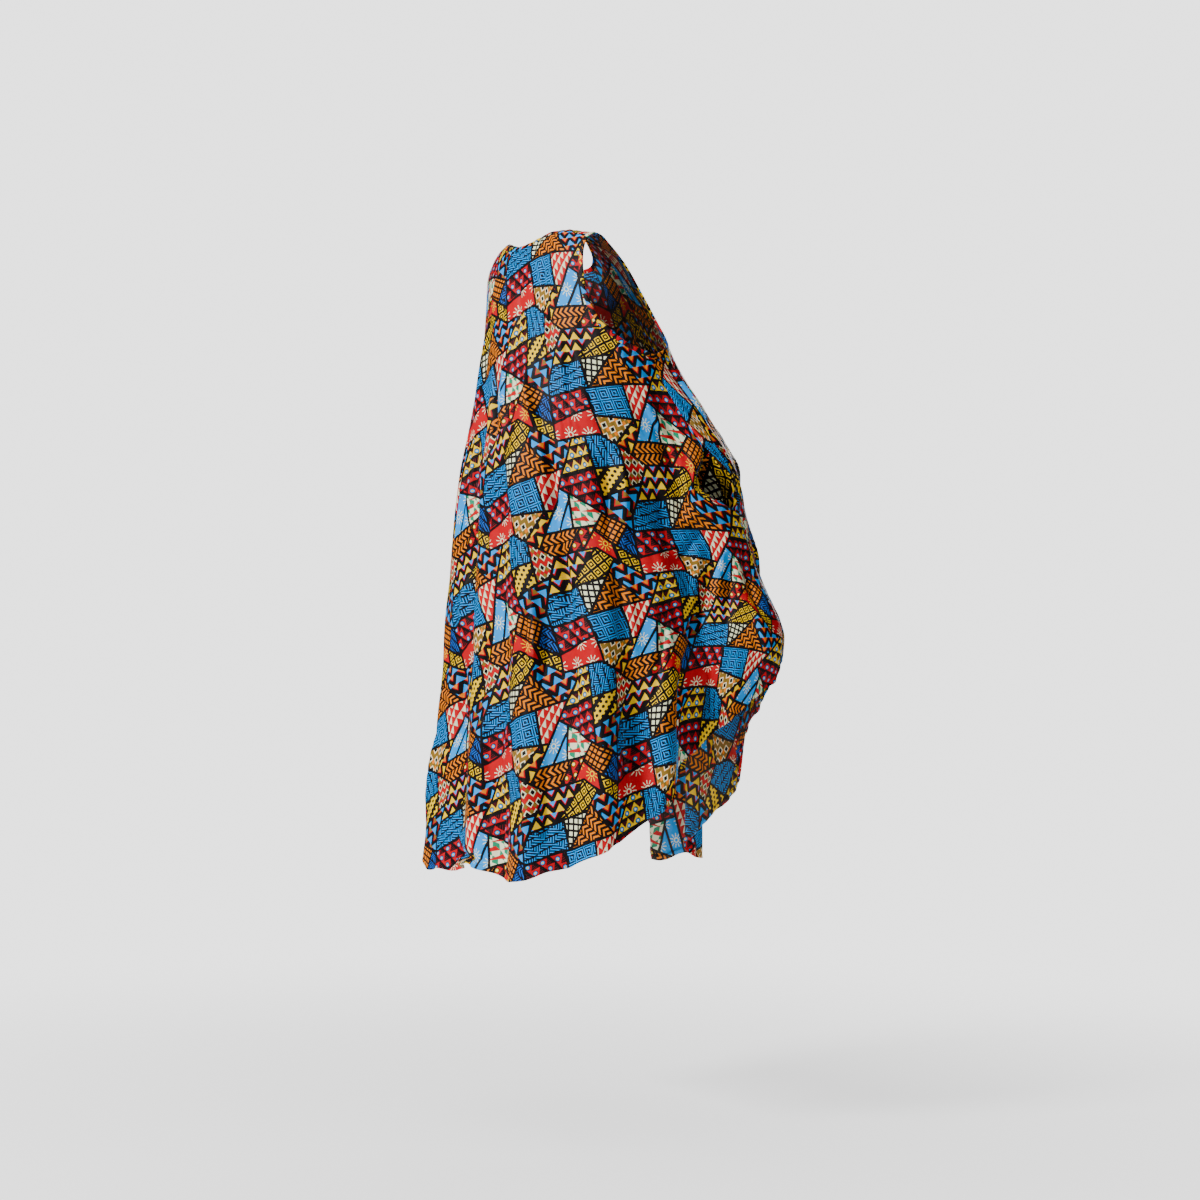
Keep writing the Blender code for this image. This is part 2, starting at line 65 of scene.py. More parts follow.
BACK_NECK_DROP = 0.060
FRONT_NECK_DROP = 0.095
UNDERARM_DROP = 0.264
CORNER_DROP = 0.815          # where a side seam meets the hem
CENTRE_DROP = 1.165          # the lowest point of the hem
HEM_CURVE = 2.6              # how late the hem rises towards the side seams
NECK_SHARE = 0.5             # neck width as a share of the width from shoulder end to shoulder end
NECK_ROUND = 0.75            # how round the neck is

NECK_POINT_HEIGHT = 0.005
SHOULDER_SLOPE_RIGHT = 0.18
SHOULDER_SLOPE_LEFT = 0.46
SLOPE_START = 0.085          # how far from the middle the shoulders begin to slope
SLOPE_SOFT = 0.0004          # how softly they begin, in square metres
SLOPE_FADE = 0.34            # the drop at which the slope has faded out of the cloth

# The frame's grid of rows, from the shoulder to the hem
ARMHOLE_ROWS = 14
ROW_COUNT = 36
ROW_SPREAD = 1.30            # how much closer the rows lie at the shoulder
MOUTH_ROWS = (20, 25)        # where the pocket's mouth begins and ends

# Where a panel's width is measured round the body: the drops, and the shares across
LEVEL_DROPS = np.linspace(0.0, 1.2, 97)
LEVEL_SHARES = np.linspace(-1.0, 1.0, 121)
ROUND_STEPS = 721            # places at which a level is measured
JUST_UNDER = 1e-9            # keeps a place inside the last step of a table
LEAST_REACH = 1e-6           # no point lies nearer than this to the middle

# Sections through the drape: half widths, the middle line's depths, and how full each corner is
SECTIONS = (
    ("drop", "height", "side_y", "right", "left", "back_y", "front_y",
     "back_right", "front_right", "front_left", "back_left"),
    (0.000, 0.000, 0.000, 0.195, 0.195, 0.000, 0.000, 1.00, 1.00, 1.00, 1.00),
    (0.020, -0.003, -0.003, 0.198, 0.196, 0.021, -0.022, 1.00, 1.00, 1.00, 1.00),
    (0.050, -0.018, -0.012, 0.204, 0.198, 0.044, -0.048, 1.00, 1.00, 1.00, 1.00),
    (0.090, -0.049, -0.028, 0.214, 0.201, 0.060, -0.080, 1.01, 1.02, 1.00, 1.00),
    (0.140, -0.096, -0.046, 0.226, 0.206, 0.069, -0.110, 1.02, 1.04, 1.00, 1.00),
    (0.200, -0.154, -0.062, 0.236, 0.214, 0.076, -0.138, 1.02, 1.07, 1.01, 1.00),
    (0.260, -0.212, -0.072, 0.243, 0.222, 0.084, -0.160, 1.02, 1.12, 1.04, 1.01),
    (0.360, -0.309, -0.082, 0.248, 0.234, 0.098, -0.192, 1.01, 1.32, 1.14, 1.03),
    (0.460, -0.406, -0.088, 0.252, 0.244, 0.110, -0.222, 1.00, 1.47, 1.24, 1.05),
    (0.550, -0.494, -0.090, 0.255, 0.252, 0.116, -0.240, 1.00, 1.48, 1.27, 1.05),
    (0.620, -0.562, -0.091, 0.259, 0.257, 0.119, -0.252, 1.01, 1.48, 1.28, 1.06),
    (0.770, -0.709, -0.092, 0.271, 0.266, 0.127, -0.270, 1.02, 1.60, 1.30, 1.07),
    (0.930, -0.866, -0.090, 0.282, 0.276, 0.138, -0.282, 1.03, 1.38, 1.24, 1.08),
    (1.170, -1.102, -0.088, 0.292, 0.288, 0.154, -0.286, 1.04, 1.10, 1.14, 1.10),
)

# The angles at which the side seams run down
SEAMS = (
    ("drop", "right_seam", "left_seam"),
    (0.000, 90, 270),
    (UNDERARM_DROP, 92, 269),
    (0.360, 106, 260),
    (0.450, 117, 252),
    (0.545, 126, 246),
    (0.680, 134, 240),
    (CORNER_DROP, 138, 236),
    (1.170, 138, 234),
)

# The armhole's curve: a share of the way down it, its drop, and how far out it is cut
ARMHOLE = (
    ("share", "drop", "back_reach", "front_reach"),
    (0.00, 0.000, 0.908, 0.908),
    (0.06, 0.010, 0.898, 0.900),
    (0.14, 0.023, 0.872, 0.878),
    (0.27, 0.052, 0.800, 0.814),
    (0.40, 0.092, 0.728, 0.746),
    (0.54, 0.145, 0.685, 0.692),
    (0.68, 0.192, 0.718, 0.708),
    (0.80, 0.225, 0.795, 0.780),
    (0.90, 0.249, 0.885, 0.875),
    (1.00, UNDERARM_DROP, 1.000, 1.000),
)

# Where the hem rides up or dips: the share of the panel's width, how wide it is, and the rise
BACK_HEM_RISES = ((-0.30, 0.05, -0.016), (-0.03, 0.07, 0.024), (0.40, 0.10, 0.012), (0.86, 0.08, 0.016))
FRONT_HEM_RISES = ((-0.55, 0.05, 0.016), (-0.05, 0.08, 0.018), (0.40, 0.07, 0.014))

# Folds: the angle at the top, the angle at the hem and the width, in degrees; then the drop where it
# starts, the drop where it is full, and the depth, out of the cloth where positive, in millimetres
FOLDS = (
    (-88, -92, 7, 400, 1000, -22), (-68, -74, 8, 340, 1000, 22), (-46, -54, 6.5, 240, 900, -24),
    (-31, -36, 6.5, 200, 800, 15), (-17, -10, 6, 160, 440, -20), (-2, 5, 6.5, 180, 700, 13),
    (10, 20, 5.5, 340, 800, -17), (18, 34, 7, 160, 500, 19), (38, 47, 6.5, 340, 900, -21),
    (56, 60, 6, 440, 950, 18), (72, 73, 5.5, 460, 950, -20), (88, 86, 5.5, 500, 950, 18),
    (114, 100, 7, 480, 780, -36), (147, 147, 3.5, 480, 900, -26), (154, 154, 4.5, 440, 900, 20),
    (162, 165, 5.5, 360, 900, -44), (174, 178, 6, 280, 950, 32), (188, 192, 6, 300, 900, -42),
    (202, 206, 6, 300, 950, 30), (217, 221, 6, 360, 950, -34), (256, 254, 7, 400, 950, -28),
)

# The pull of the hand lifts the cloth below it, and opens the pocket's mouth
PULL_LIFT = 0.055
LIFT_ANGLE = 112.0
LIFT_WIDTH = 26.0
LIFT_START = 0.55
LIFT_FULL = 0.90
BACK_GAPE = 13.0             # how far each side of the mouth is drawn aside, in degrees
FRONT_GAPE = 7.0
GAPE_REACH = 3.5             # how near the mouth the pull stays
GAPE_LAG = 1.5               # how far down the mouth it is widest

# The pocket bag
BAG_LENGTH = 0.190
BAG_DIRECTION = (0.86, -0.10, -0.50)
BAG_HALF_WIDTH = 0.058
BAG_HALF_DEPTH = 0.018
BAG_INSET = 0.0040
BAG_MOUTH_SHRINK = 0.08
BAG_RINGS = 28
BAG_MOUTH_SHARE = 0.45       # how far down the bag still has the mouth's form
BAG_ROUND_START = 0.60       # where its foot begins to round off
BAG_ROUND_END = 1.02         # where its sides would meet
BAG_WALL = 0.0009
BAG_SLACK = 0.0020           # how far the bag's cloth wanders from its plain form
BAG_SLACK_WAVES = 3          # how often it does so round the bag
BAG_SLACK_TURN = 1.0         # where round the bag the first wave stands, in radians
BAG_SLACK_RUN = 7            # how far the waves run down the bag, in radians
BAG_SLACK_START = 3          # the slack is full after one part in this many of the bag's length
MOUTH_STITCH = 0.012         # how far in from the pocket's mouth it is stitched, as a share

# ---- The fine cloth ---------------------------------------------------------

PANEL_COLUMNS = 304          # even columns of the fine grid, from side seam to side seam
ROWS_PER_STEP = 4            # fine rows for each row of the frame's grid
SEAM_STEPS = (0.0012, 0.0026, 0.0046, 0.0070)    # extra columns beside a seam, in shares
HEM_STEPS = (0.012, 0.05, 0.10, 0.16, 0.26, 0.29, 0.34)    # extra rows above the hem, in rows
HEM_LINE = 0.27              # rows above the edge where the turned hem ends
HEM_TURN = 0.03              # rows in which the turned hem thickens
STITCH_ROW = 0.22            # rows above the edge where the hem is stitched
SEAM_GAP = 0.0003            # between two edges that are sewn together
SHARP_EDGE = math.radians(80)

# How much wider a panel is cut at each metre down from the shoulder, for the lay of the print
BACK_FLARE = 0.42
FRONT_FLARE = 0.13
SHOULDER_HALF = 0.20         # half of the cut's width at the shoulder

# Creases: where each starts and ends on the cloth, across from the centre line towards the panel's
# last seam and down from the shoulder; then how far it bows aside, its width, and its depth, out of
# the cloth where positive. All in millimetres.
BACK_CREASES = (
    (-46, 232, 5, 463, 6, 9, -7), (8, 450, -12, 640, -5, 10, -5.5), (-3, 250, 50, 461, 4, 9, 4.5),
    (83, 270, 125, 386, -6, 7, 6), (120, 365, 144, 560, 6, 8, 6), (143, 392, 169, 585, -4, 10, -7.5),
    (166, 550, 174, 755, 5, 10, -8.5), (174, 745, 223, 973, -8, 12, -6), (119, 635, 98, 838, 3, 6, 7),
    (102, 672, 78, 846, 4, 8, -5.5), (135, 688, 124, 860, -3, 7, -5), (-40, 64, -20, 213, 4, 8, -3.5),
    (157, 205, 190, 377, 6, 10, -5.5), (124, 160, 130, 273, -3, 7, 3.5), (94, 72, 101, 166, 3, 6, -2.5),
    (20, 110, 34, 240, 4, 8, -3), (212, 395, 229, 549, 4, 10, 5.5), (254, 405, 268, 621, -5, 9, -7),
    (268, 610, 271, 779, 5, 10, -5), (273, 420, 287, 617, 5, 9, 6.5), (287, 600, 328, 855, -8, 10, 6),
    (338, 470, 366, 630, 6, 9, -7), (366, 620, 373, 880, -10, 11, -6), (427, 540, 418, 791, 6, 10, 5.5),
    (440, 640, 452, 813, -6, 10, -7.5), (448, 800, 477, 1010, 6, 11, -8.5),
    (470, 520, 330, 665, 12, 7, -5), (480, 500, 370, 570, 10, 7, 4), (483, 555, 468, 755, 6, 9, 5),
    (505, 590, 523, 801, -5, 9, -6), (-165, 750, -160, 967, 4, 11, -6.5),
    (-114, 610, -155, 773, -5, 10, 5), (-107, 375, -125, 542, 5, 10, -5),
    (-28, 665, -46, 960, 6, 11, -5.5), (-13, 835, 26, 1080, -5, 11, -5), (46, 1000, 46, 1150, 3, 9, -6),
    (105, 925, 146, 1140, 6, 11, 5.5), (152, 925, 188, 1120, -4, 11, -5.5),
    (240, 840, 296, 1075, 6, 12, 5), (313, 845, 362, 1042, -5, 11, -7.5),
    (373, 870, 434, 1037, 6, 11, 5), (510, 840, 560, 960, 4, 10, -5),
    (-168, 1120, 59, 1127, -6, 7, -6.5), (-161, 1092, -7, 1115, 6, 7, 4.5),
    (-120, 1143, -30, 1148, 3, 6, 4), (343, 379, 414, 454, 6, 8, -5), (300, 320, 392, 430, -6, 7, 3.5),
    (526, 567, 619, 760, -8, 10, -6), (559, 700, 660, 870, 6, 10, 5.5), (605, 780, 690, 900, 4, 10, -5),
    (-190, 330, -230, 560, 6, 10, -6), (-235, 420, -280, 700, -6, 10, 5.5),
    (-260, 620, -300, 900, 8, 11, -7), (-330, 480, -380, 740, 6, 10, -6),
    (-210, 880, -260, 1110, -5, 10, 5.5), (-340, 830, -380, 1060, 6, 11, -6),
    (-410, 640, -450, 900, -6, 10, 6), (-460, 800, -520, 1000, 5, 11, -7),
    (-520, 620, -560, 820, 5, 10, -5), (-560, 760, -620, 920, 4, 10, 5),
    (-290, 290, -262, 400, 4, 8, -4),
)
FRONT_CREASES = (
    (-290, 250, -340, 400, 6, 8, 4.5), (-250, 230, -330, 450, -8, 9, -5),
    (-200, 300, -320, 520, 10, 10, 5), (-330, 440, -240, 700, 8, 10, -6),
    (-350, 500, -310, 780, -6, 10, 5.5), (-380, 560, -400, 860, 6, 10, -6),
    (-100, 200, -140, 420, 5, 9, -4), (-60, 330, -90, 620, -6, 10, 4.5), (20, 280, 10, 560, 5, 10, -5),
    (90, 240, 130, 500, -6, 10, 4.5), (160, 300, 200, 560, 6, 10, -5.5), (240, 260, 270, 430, 4, 8, -4),
    (-180, 640, -200, 920, 6, 11, 5.5), (-120, 580, -110, 860, -6, 11, -6.5),
    (-30, 650, -10, 960, 6, 11, 6), (50, 600, 70, 900, -6, 11, -6.5), (130, 700, 150, 1000, 6, 11, 5.5),
    (210, 580, 240, 860, -6, 11, -6), (290, 500, 310, 740, 5, 10, 5), (330, 640, 370, 840, 5, 10, -5),
    (-260, 820, -290, 1020, 5, 10, -5.5), (-60, 900, -80, 1100, 5, 10, -5),
    (80, 920, 110, 1120, -5, 10, 5), (200, 900, 240, 1060, 5, 10, -5), (20, 120, 40, 250, 4, 8, -3),
    (-120, 70, -110, 190, 4, 8, -3),
)
CREASE_GAIN = 1.85           # how much deeper the creases are than their table says
CREASE_LEAN = 0.35           # how much steeper a crease is on one side than on the other
CREASE_TAPER = 2.5           # a crease is full after one part in this many of its length
CREASE_FALL = -1.6           # how fast it dies away to its sides
CREASE_EDGE = 0.025          # creases fade out over this much cloth beside a seam

# Small drawn folds between the creases: how far apart, how long, how deep and their seed, in metres
DRAWN_FOLDS = ((0.034, 0.240, 0.0078, 3), (0.019, 0.120, 0.0036, 8))
DRAWN_START = (0.10, 0.42)   # the drop where the drawn folds begin, and where they are full
DRAWN_TOP = 0.25             # how much of them there is above that
DRAWN_SOFT = 0.12            # how round the foot of a drawn fold is
DRAWN_MIDDLE = 0.45          # the height at which they neither raise nor sink the cloth
DRAWN_WANDER = 0.6           # how far they stray sideways, in steps
DRAWN_WANDER_STEP = 3        # how many steps apart they stray differently
HUNG_SPREAD = 2.2            # how much wider a drawn fold is at the hem than at the shoulder
NOISE_KNOTS = 64             # after how many steps the noise comes round again

PUCKER_HEIGHT = 0.0011       # small waves that the side seams' stitching draws up
PUCKER_REACH = 0.020
PUCKER_START = 0.003
PUCKER_STEPS = (0.029, 0.043, 0.071)
SEWN_ROWS = 2.0              # rows below the underarm in which the side seam's form sets in
SEAM_DIP = 0.0016            # how far the cloth sinks into a side seam
SEAM_DIP_REACH = 0.0040
RIPPLE_HEIGHT = 0.0040       # small waves of the turned hem
RIPPLE_REACH = 0.030
RIPPLE_STEPS = (0.034, 0.057, 0.093)
HEM_WANDER = 0.0040          # how far the hem strays up and down
HEM_WANDER_REACH = 0.045
HEM_WANDER_STEPS = (0.071, 0.113, 0.190)
HEM_DEPTH = 0.0075           # where the hem is stitched, above its edge
HEM_DIP = 0.0006
HEM_DIP_REACH = 0.0022
WAVE_SHIFT = 1.7             # how far each set of small waves is shifted from the last, in radians

# A strip's leaf from its raw fold to the cloth's edge: share of its width, and how far it swells
STRIP_PROFILE = ((1.00, -0.00015), (0.90, 0.00020), (0.76, -0.00010), (0.55, 0.00030),
                 (0.28, 0.00030), (0.06, 0.00015))
STRIP_TURN = (50.0, 0.0, -50.0)    # the way round the cloth's edge, in degrees
STRIP_EASE = 0.00015         # room between the strip and the cloth
STRIP_STAND = 0.2            # nearer the cloth's edge than this share there is twice the room
STRIP_PUCKER = 0.9           # how uneven the swelling is, as a share of it
STRIP_PUCKER_STEPS = (0.011, 0.017, 0.027)
STRIP_LAG = 0.01             # how far the swelling inside lags behind the one outside
STRIP_SHARPEN = 3            # steps of the strip for each cell of the fine edge
STRIP_ROUND = 0.125          # how far the steps round off the corners of the edge
BIAS_PLACE = (0.31, 0.17)    # where on the print the strips are cut
STITCH_PLACE = 2             # the row of the profile that the stitches lie in
STITCH_AIM = 0.4             # how far to each side a stitch's direction is taken, in stitch steps
THREAD_FLAT = 1.3            # how much flatter the thread lies than it is wide

# ---- The studio -------------------------------------------------------------

CAMERA_AIM = (-0.049, -0.085, -0.626)
LIGHT_AIM = (0.0, 0.0, -0.5)
# Lights: name, place, size and power in watts
STUDIO_LIGHTS = (
    ("key_light", (-0.3, 3.9, 1.6), 1.0, 266.0),
    ("fill_light", (-3.9, 0.9, 0.5), 2.0, 26.0),
    ("top_light", (0.0, 0.2, 3.2), 2.5, 50.0),
    ("front_light", (2.0, -3.4, 0.9), 1.6, 110.0),
)
WORLD_LIGHT = 0.15           # how strongly the backdrop lights the dress
WORLD_SHOWN = 2.6            # how bright it looks
FLOOR_GLOW = 0.85
FLOOR_FADE = (0.4, 2.3)      # how far from the middle the floor begins to fade, and where it ends

# ---- The drape --------------------------------------------------------------


def smooth_value(knots, values, at):
    """A smooth curve through the knots that never overshoots between them."""
    at = np.clip(np.asarray(at, float), knots[0], knots[-1])
    step = np.diff(knots)
    slope = np.diff(values) / step
    tangent = np.zeros(len(knots))
    tangent[0], tangent[-1] = slope[0], slope[-1]
    for i in range(1, len(knots) - 1):
        if slope[i - 1] * slope[i] > 0:
            before, after = 2 * step[i] + step[i - 1], step[i] + 2 * step[i - 1]
            tangent[i] = (before + after) / (before / slope[i - 1] + after / slope[i])
    i = np.clip(np.searchsorted(knots, at, side="right") - 1, 0, len(knots) - 2)
    u = (at - knots[i]) / step[i]
    rise = (3 - 2 * u) * u * u
    return (values[i] * (1 - rise) + values[i + 1] * rise
            + step[i] * u * (1 - u) * ((1 - u) * tangent[i] - u * tangent[i + 1]))


def table_value(table, name, at):
    """A named column of a table, smoothed between its rows, at a value of its first column."""
    rows = np.array(table[1:], float)
    return smooth_value(rows[:, 0], rows[:, table[0].index(name)], at)


def ease(value):
    """A soft step from 0 to 1."""
    value = np.clip(value, 0.0, 1.0)
    return value * value * (3 - 2 * value)


def bell(away, width):
    """A soft bump, 1 at the middle and nearly 0 at twice the width."""
    return np.exp(-0.5 * (away / width) ** 2)


def turned(angle, middle):
    """How far an angle is turned from a middle, between -180 and 180 degrees."""
    return (angle - middle + 180.0) % 360.0 - 180.0


def unit(vectors):
    """The same directions at length 1."""
    return vectors / np.linalg.norm(vectors, axis=-1, keepdims=True)


def run_along(points, axis=0):
    """The distance along lines of points, from 0 at the start of each."""
    steps = np.linalg.norm(np.diff(points, axis=axis), axis=-1)
    return np.insert(np.cumsum(steps, axis=axis), 0, 0.0, axis=axis)


def grid_normals(points):
    """Outward normals of a grid whose columns run round the body and whose rows run down."""
    return unit(np.cross(np.gradient(points, axis=0), np.gradient(points, axis=1)))


def fold_reach(angle, drop):
    """How far the folds push the cloth out of its plain section."""
    reach = np.zeros(np.broadcast(angle, drop).shape)
    for top, foot, width, *lengths in FOLDS:
        start, full, depth = (length / 1000 for length in lengths)
        middle = top + (foot - top) * np.clip((drop - start) / (CENTRE_DROP - start), 0, 1)
        reach += depth * ease((drop - start) / (full - start)) * bell(turned(angle, middle), width)
    return reach


def shoulder_height(x):
    """Height of the shoulder line across the dress."""
    slope = np.where(x > 0, SHOULDER_SLOPE_LEFT, SHOULDER_SLOPE_RIGHT)
    past = np.abs(x) - SLOPE_START
    return NECK_POINT_HEIGHT - slope * 0.5 * (past + np.sqrt(past * past + SLOPE_SOFT))


def cloth_point(angle, drop):
    """The point of the draped cloth at an angle round the body and a drop down from the shoulder."""
    turn = np.radians(angle)
    sine, cosine = np.sin(turn), np.cos(turn)
    level = {name: table_value(SECTIONS, name, drop) for name in SECTIONS[0][1:]}
    wide = np.where(sine > 0, level["right"], level["left"])
    deep = np.where(cosine > 0, level["back_y"] - level["side_y"], level["side_y"] - level["front_y"])
    corner = np.where(sine > 0, np.where(cosine > 0, level["back_right"], level["front_right"]),
                      np.where(cosine > 0, level["back_left"], level["front_left"]))
    fullness = 1.0 + (corner - 1.0) * np.sin(2 * turn) ** 2
    x, y = -wide * sine * fullness, deep * cosine * fullness
    outward_share = 1 + fold_reach(angle, drop) / np.maximum(np.hypot(x, y), LEAST_REACH)
    x, y = x * outward_share, y * outward_share
    lift = PULL_LIFT * ease((drop - LIFT_START) / (LIFT_FULL - LIFT_START))
    z = (level["height"] + shoulder_height(x) * (1 - ease(drop / SLOPE_FADE))
         + lift * bell(turned(angle, LIFT_ANGLE), LIFT_WIDTH))
    return np.stack(np.broadcast_arrays(x, y + level["side_y"], z), axis=-1)


class ClothPanel:
    """One panel of the dress, from one side seam to the other, as the frame drapes it."""

    def __init__(self, seams, neck_drop, reach_name, hem_rises, mouth_side, gape, flare):
        self.seams, self.neck_drop, self.reach_name = seams, neck_drop, reach_name
        self.hem_rises, self.mouth_side, self.gape, self.flare = hem_rises, mouth_side, gape, flare
        self.angles = np.array([self.even_angles(drop) for drop in LEVEL_DROPS])

    def even_angles(self, drop):
        """Angles that part the section at a drop into equal lengths of cloth."""
        first, last = (table_value(SEAMS, name, drop) + turns * 360.0 for name, turns in self.seams)
        angle = np.linspace(first, last, ROUND_STEPS)
        length = run_along(cloth_point(angle, np.full(angle.shape, drop)))
        return np.interp((LEVEL_SHARES + 1) / 2, length / length[-1], angle)

    def angle(self, share, drop, row):
        """The angle round the body at a share of the panel's width, with the pocket's mouth open."""
        level = np.clip(drop / LEVEL_DROPS[1], 0, len(LEVEL_DROPS) - 1 - JUST_UNDER)
        place = np.clip((share + 1) / (LEVEL_SHARES[1] + 1), 0, len(LEVEL_SHARES) - 1 - JUST_UNDER)
        i, j = level.astype(int), place.astype(int)
        u, v = level - i, place - j
        upper = self.angles[i, j] * (1 - v) + self.angles[i, j + 1] * v
        lower = self.angles[i + 1, j] * (1 - v) + self.angles[i + 1, j + 1] * v
        top, foot = MOUTH_ROWS
        pull = np.sin(math.pi * np.clip((row - top) / (foot - top), 0, 1) ** GAPE_LAG)
        near = np.clip(share * self.mouth_side, 0, 1) ** GAPE_REACH
        return upper * (1 - u) + lower * u + self.gape * pull * near

    def edge(self, row):
        """The drop and the reach of the side edge at a row, down the armhole and the side seam."""
        share = np.clip(row / ARMHOLE_ROWS, 0, 1)
        below = (row - ARMHOLE_ROWS) / (ROW_COUNT - ARMHOLE_ROWS)
        seam_drop = UNDERARM_DROP + (CORNER_DROP - UNDERARM_DROP) * below
        return (np.where(row < ARMHOLE_ROWS, table_value(ARMHOLE, "drop", share), seam_drop),
                table_value(ARMHOLE, self.reach_name, share))

    def lay(self, rows, shares):
        """Points of the middle of the cloth, and their drops, on a grid of rows and shares."""
        row, share = np.meshgrid(rows, shares, indexing="ij")
        edge_drop, reach = self.edge(row)
        inward = np.clip(np.abs(share) / NECK_SHARE, 0, 1)
        top = self.neck_drop * np.clip(np.cos(inward * math.pi / 2), 0, 1) ** NECK_ROUND
        side = np.abs(share) ** HEM_CURVE
        foot = CENTRE_DROP + (CORNER_DROP - CENTRE_DROP) * side
        for middle, width, rise in self.hem_rises:
            foot = foot - rise * bell(share - middle, width)
        down = (row / ROW_COUNT) ** ROW_SPREAD
        down = down + (edge_drop / CORNER_DROP - down) * side
        drop = top + (foot - top) * down
        place = share * (1 - (1 - reach) * np.abs(share))
        return cloth_point(self.angle(place, drop, row), drop), drop

    def cut_places(self, points, drop):
        """Where each point lies on the panel before it is sewn, in metres across and down."""
        across = run_along(points, axis=1)
        across -= across[:, [points.shape[1] // 2]]
        radius = drop + SHOULDER_HALF / self.flare
        turn = across / radius
        return np.stack((radius * np.sin(turn), radius * np.cos(turn) - SHOULDER_HALF / self.flare),
                        axis=-1)


def crease_height(creases, across, drop):
    """How far the creases move the cloth out of its surface."""
    height = np.zeros(across.shape)
    for number, crease in enumerate(creases):
        x1, y1, x2, y2, bow, width, depth = (length / 1000 for length in crease)
        run = math.hypot(x2 - x1, y2 - y1)
        along = ((across - x1) * (x2 - x1) + (drop - y1) * (y2 - y1)) / run ** 2
        beside = ((across - x1) * (y2 - y1) - (drop - y1) * (x2 - x1)) / run
        beside = beside - bow * np.sin(math.pi * np.clip(along, 0, 1))
        lean = 1 + CREASE_LEAN * (-1) ** number * np.tanh(beside / width)
        taper = ease(along * CREASE_TAPER) * ease((1 - along) * CREASE_TAPER)
        height += CREASE_GAIN * depth * taper * (1 + (beside / (width * lean)) ** 2) ** CREASE_FALL
    return height


def lattice_noise(across, down, seed):
    """Smooth seeded noise between -1 and 1, with one step to each unit across and down."""
    knots = np.random.default_rng(seed).uniform(-1, 1, (NOISE_KNOTS, NOISE_KNOTS))
    i, j = np.floor(across).astype(int), np.floor(down).astype(int)
    u, v = ease(across - i), ease(down - j)
    rows = []
    for below in (0, 1):
        left, right = (knots[(i + aside) % NOISE_KNOTS, (j + below) % NOISE_KNOTS] for aside in (0, 1))
        rows.append(left * (1 - u) + right * u)
    return rows[0] * (1 - v) + rows[1] * v


def drawn_height(beside, drop):
    """Fine uneven folds that hang from the shoulders, round on top with narrow feet."""
    height = np.zeros(drop.shape)
    for step, length, depth, seed in DRAWN_FOLDS:
        wander = lattice_noise(beside / (DRAWN_WANDER_STEP * step), drop / length, seed + 1) * DRAWN_WANDER
        soft = lattice_noise(beside / step + wander, drop / length, seed)
        height += depth * (np.sqrt(soft * soft + DRAWN_SOFT ** 2) - DRAWN_MIDDLE)
    start, full = DRAWN_START
    return height * (DRAWN_TOP + (1 - DRAWN_TOP) * ease((drop - start) / (full - start)))


def waves(along, steps):
    """Uneven waves along an edge, from a few steps that never line up, between about -1 and 1."""
    total = sum(np.sin(2 * math.pi * along / step + WAVE_SHIFT * k) for k, step in enumerate(steps))
    return total / len(steps)


class FineGrid:
    """A panel's fine grid: points, normals, and places on the flat cut."""

    def __init__(self, panel, creases):
        even, steps = np.linspace(-1, 1, PANEL_COLUMNS + 1), np.array(SEAM_STEPS)
        self.shares = np.unique(np.round(np.concatenate((even, 1 - steps, steps - 1)), 6))
        even = np.linspace(0, ROW_COUNT, ROW_COUNT * ROWS_PER_STEP + 1)
        self.rows = np.unique(np.round(np.concatenate((even, ROW_COUNT - np.array(HEM_STEPS))), 6))
        self.points, self.drop = panel.lay(self.rows, self.shares)
        self.places = panel.cut_places(self.points, self.drop)
        self.normals = grid_normals(self.points)
        height, stray = self.relief(creases, panel.flare)
        fall = unit(np.gradient(self.points, axis=0))
        self.points = self.points + self.normals * height[..., None] + fall * stray[..., None]
        self.normals = grid_normals(self.points)

    def relief(self, creases, flare):
        """How far the creases, seams and hem move the cloth out of its plain drape, and down it."""
        across = run_along(self.points, axis=1)
        aside = np.minimum(across, across[:, -1:] - across)
        above_hem = run_along(self.points[::-1])[::-1]
        middle = across - across[:, [across.shape[1] // 2]]
        hung = middle / (1 + flare * self.drop / SHOULDER_HALF) * HUNG_SPREAD
        height = crease_height(creases, self.places[..., 0], self.drop) + drawn_height(hung, self.drop)
        inside = ease(aside / CREASE_EDGE)
        height *= inside
        sewn = ease((self.rows - ARMHOLE_ROWS) / SEWN_ROWS)[:, None]
        pucker = waves(self.drop, PUCKER_STEPS) * PUCKER_HEIGHT * np.exp(-aside / PUCKER_REACH)
        height += sewn * (pucker * ease(aside / PUCKER_START) - SEAM_DIP * bell(aside, SEAM_DIP_REACH))
        height += waves(across, RIPPLE_STEPS) * RIPPLE_HEIGHT * np.exp(-above_hem / RIPPLE_REACH) * inside
        stray = HEM_WANDER * waves(across, HEM_WANDER_STEPS) * np.exp(-above_hem / HEM_WANDER_REACH)
        return height - HEM_DIP * bell(above_hem - HEM_DEPTH, HEM_DIP_REACH), stray * inside

    def row_at(self, row):
        """The index of the fine row nearest to one of the frame's rows."""
        return int(np.argmin(np.abs(self.rows - row)))

    def column_at(self, share):
        """The index of the fine column nearest to a share of the width."""
        return int(np.argmin(np.abs(self.shares - share)))


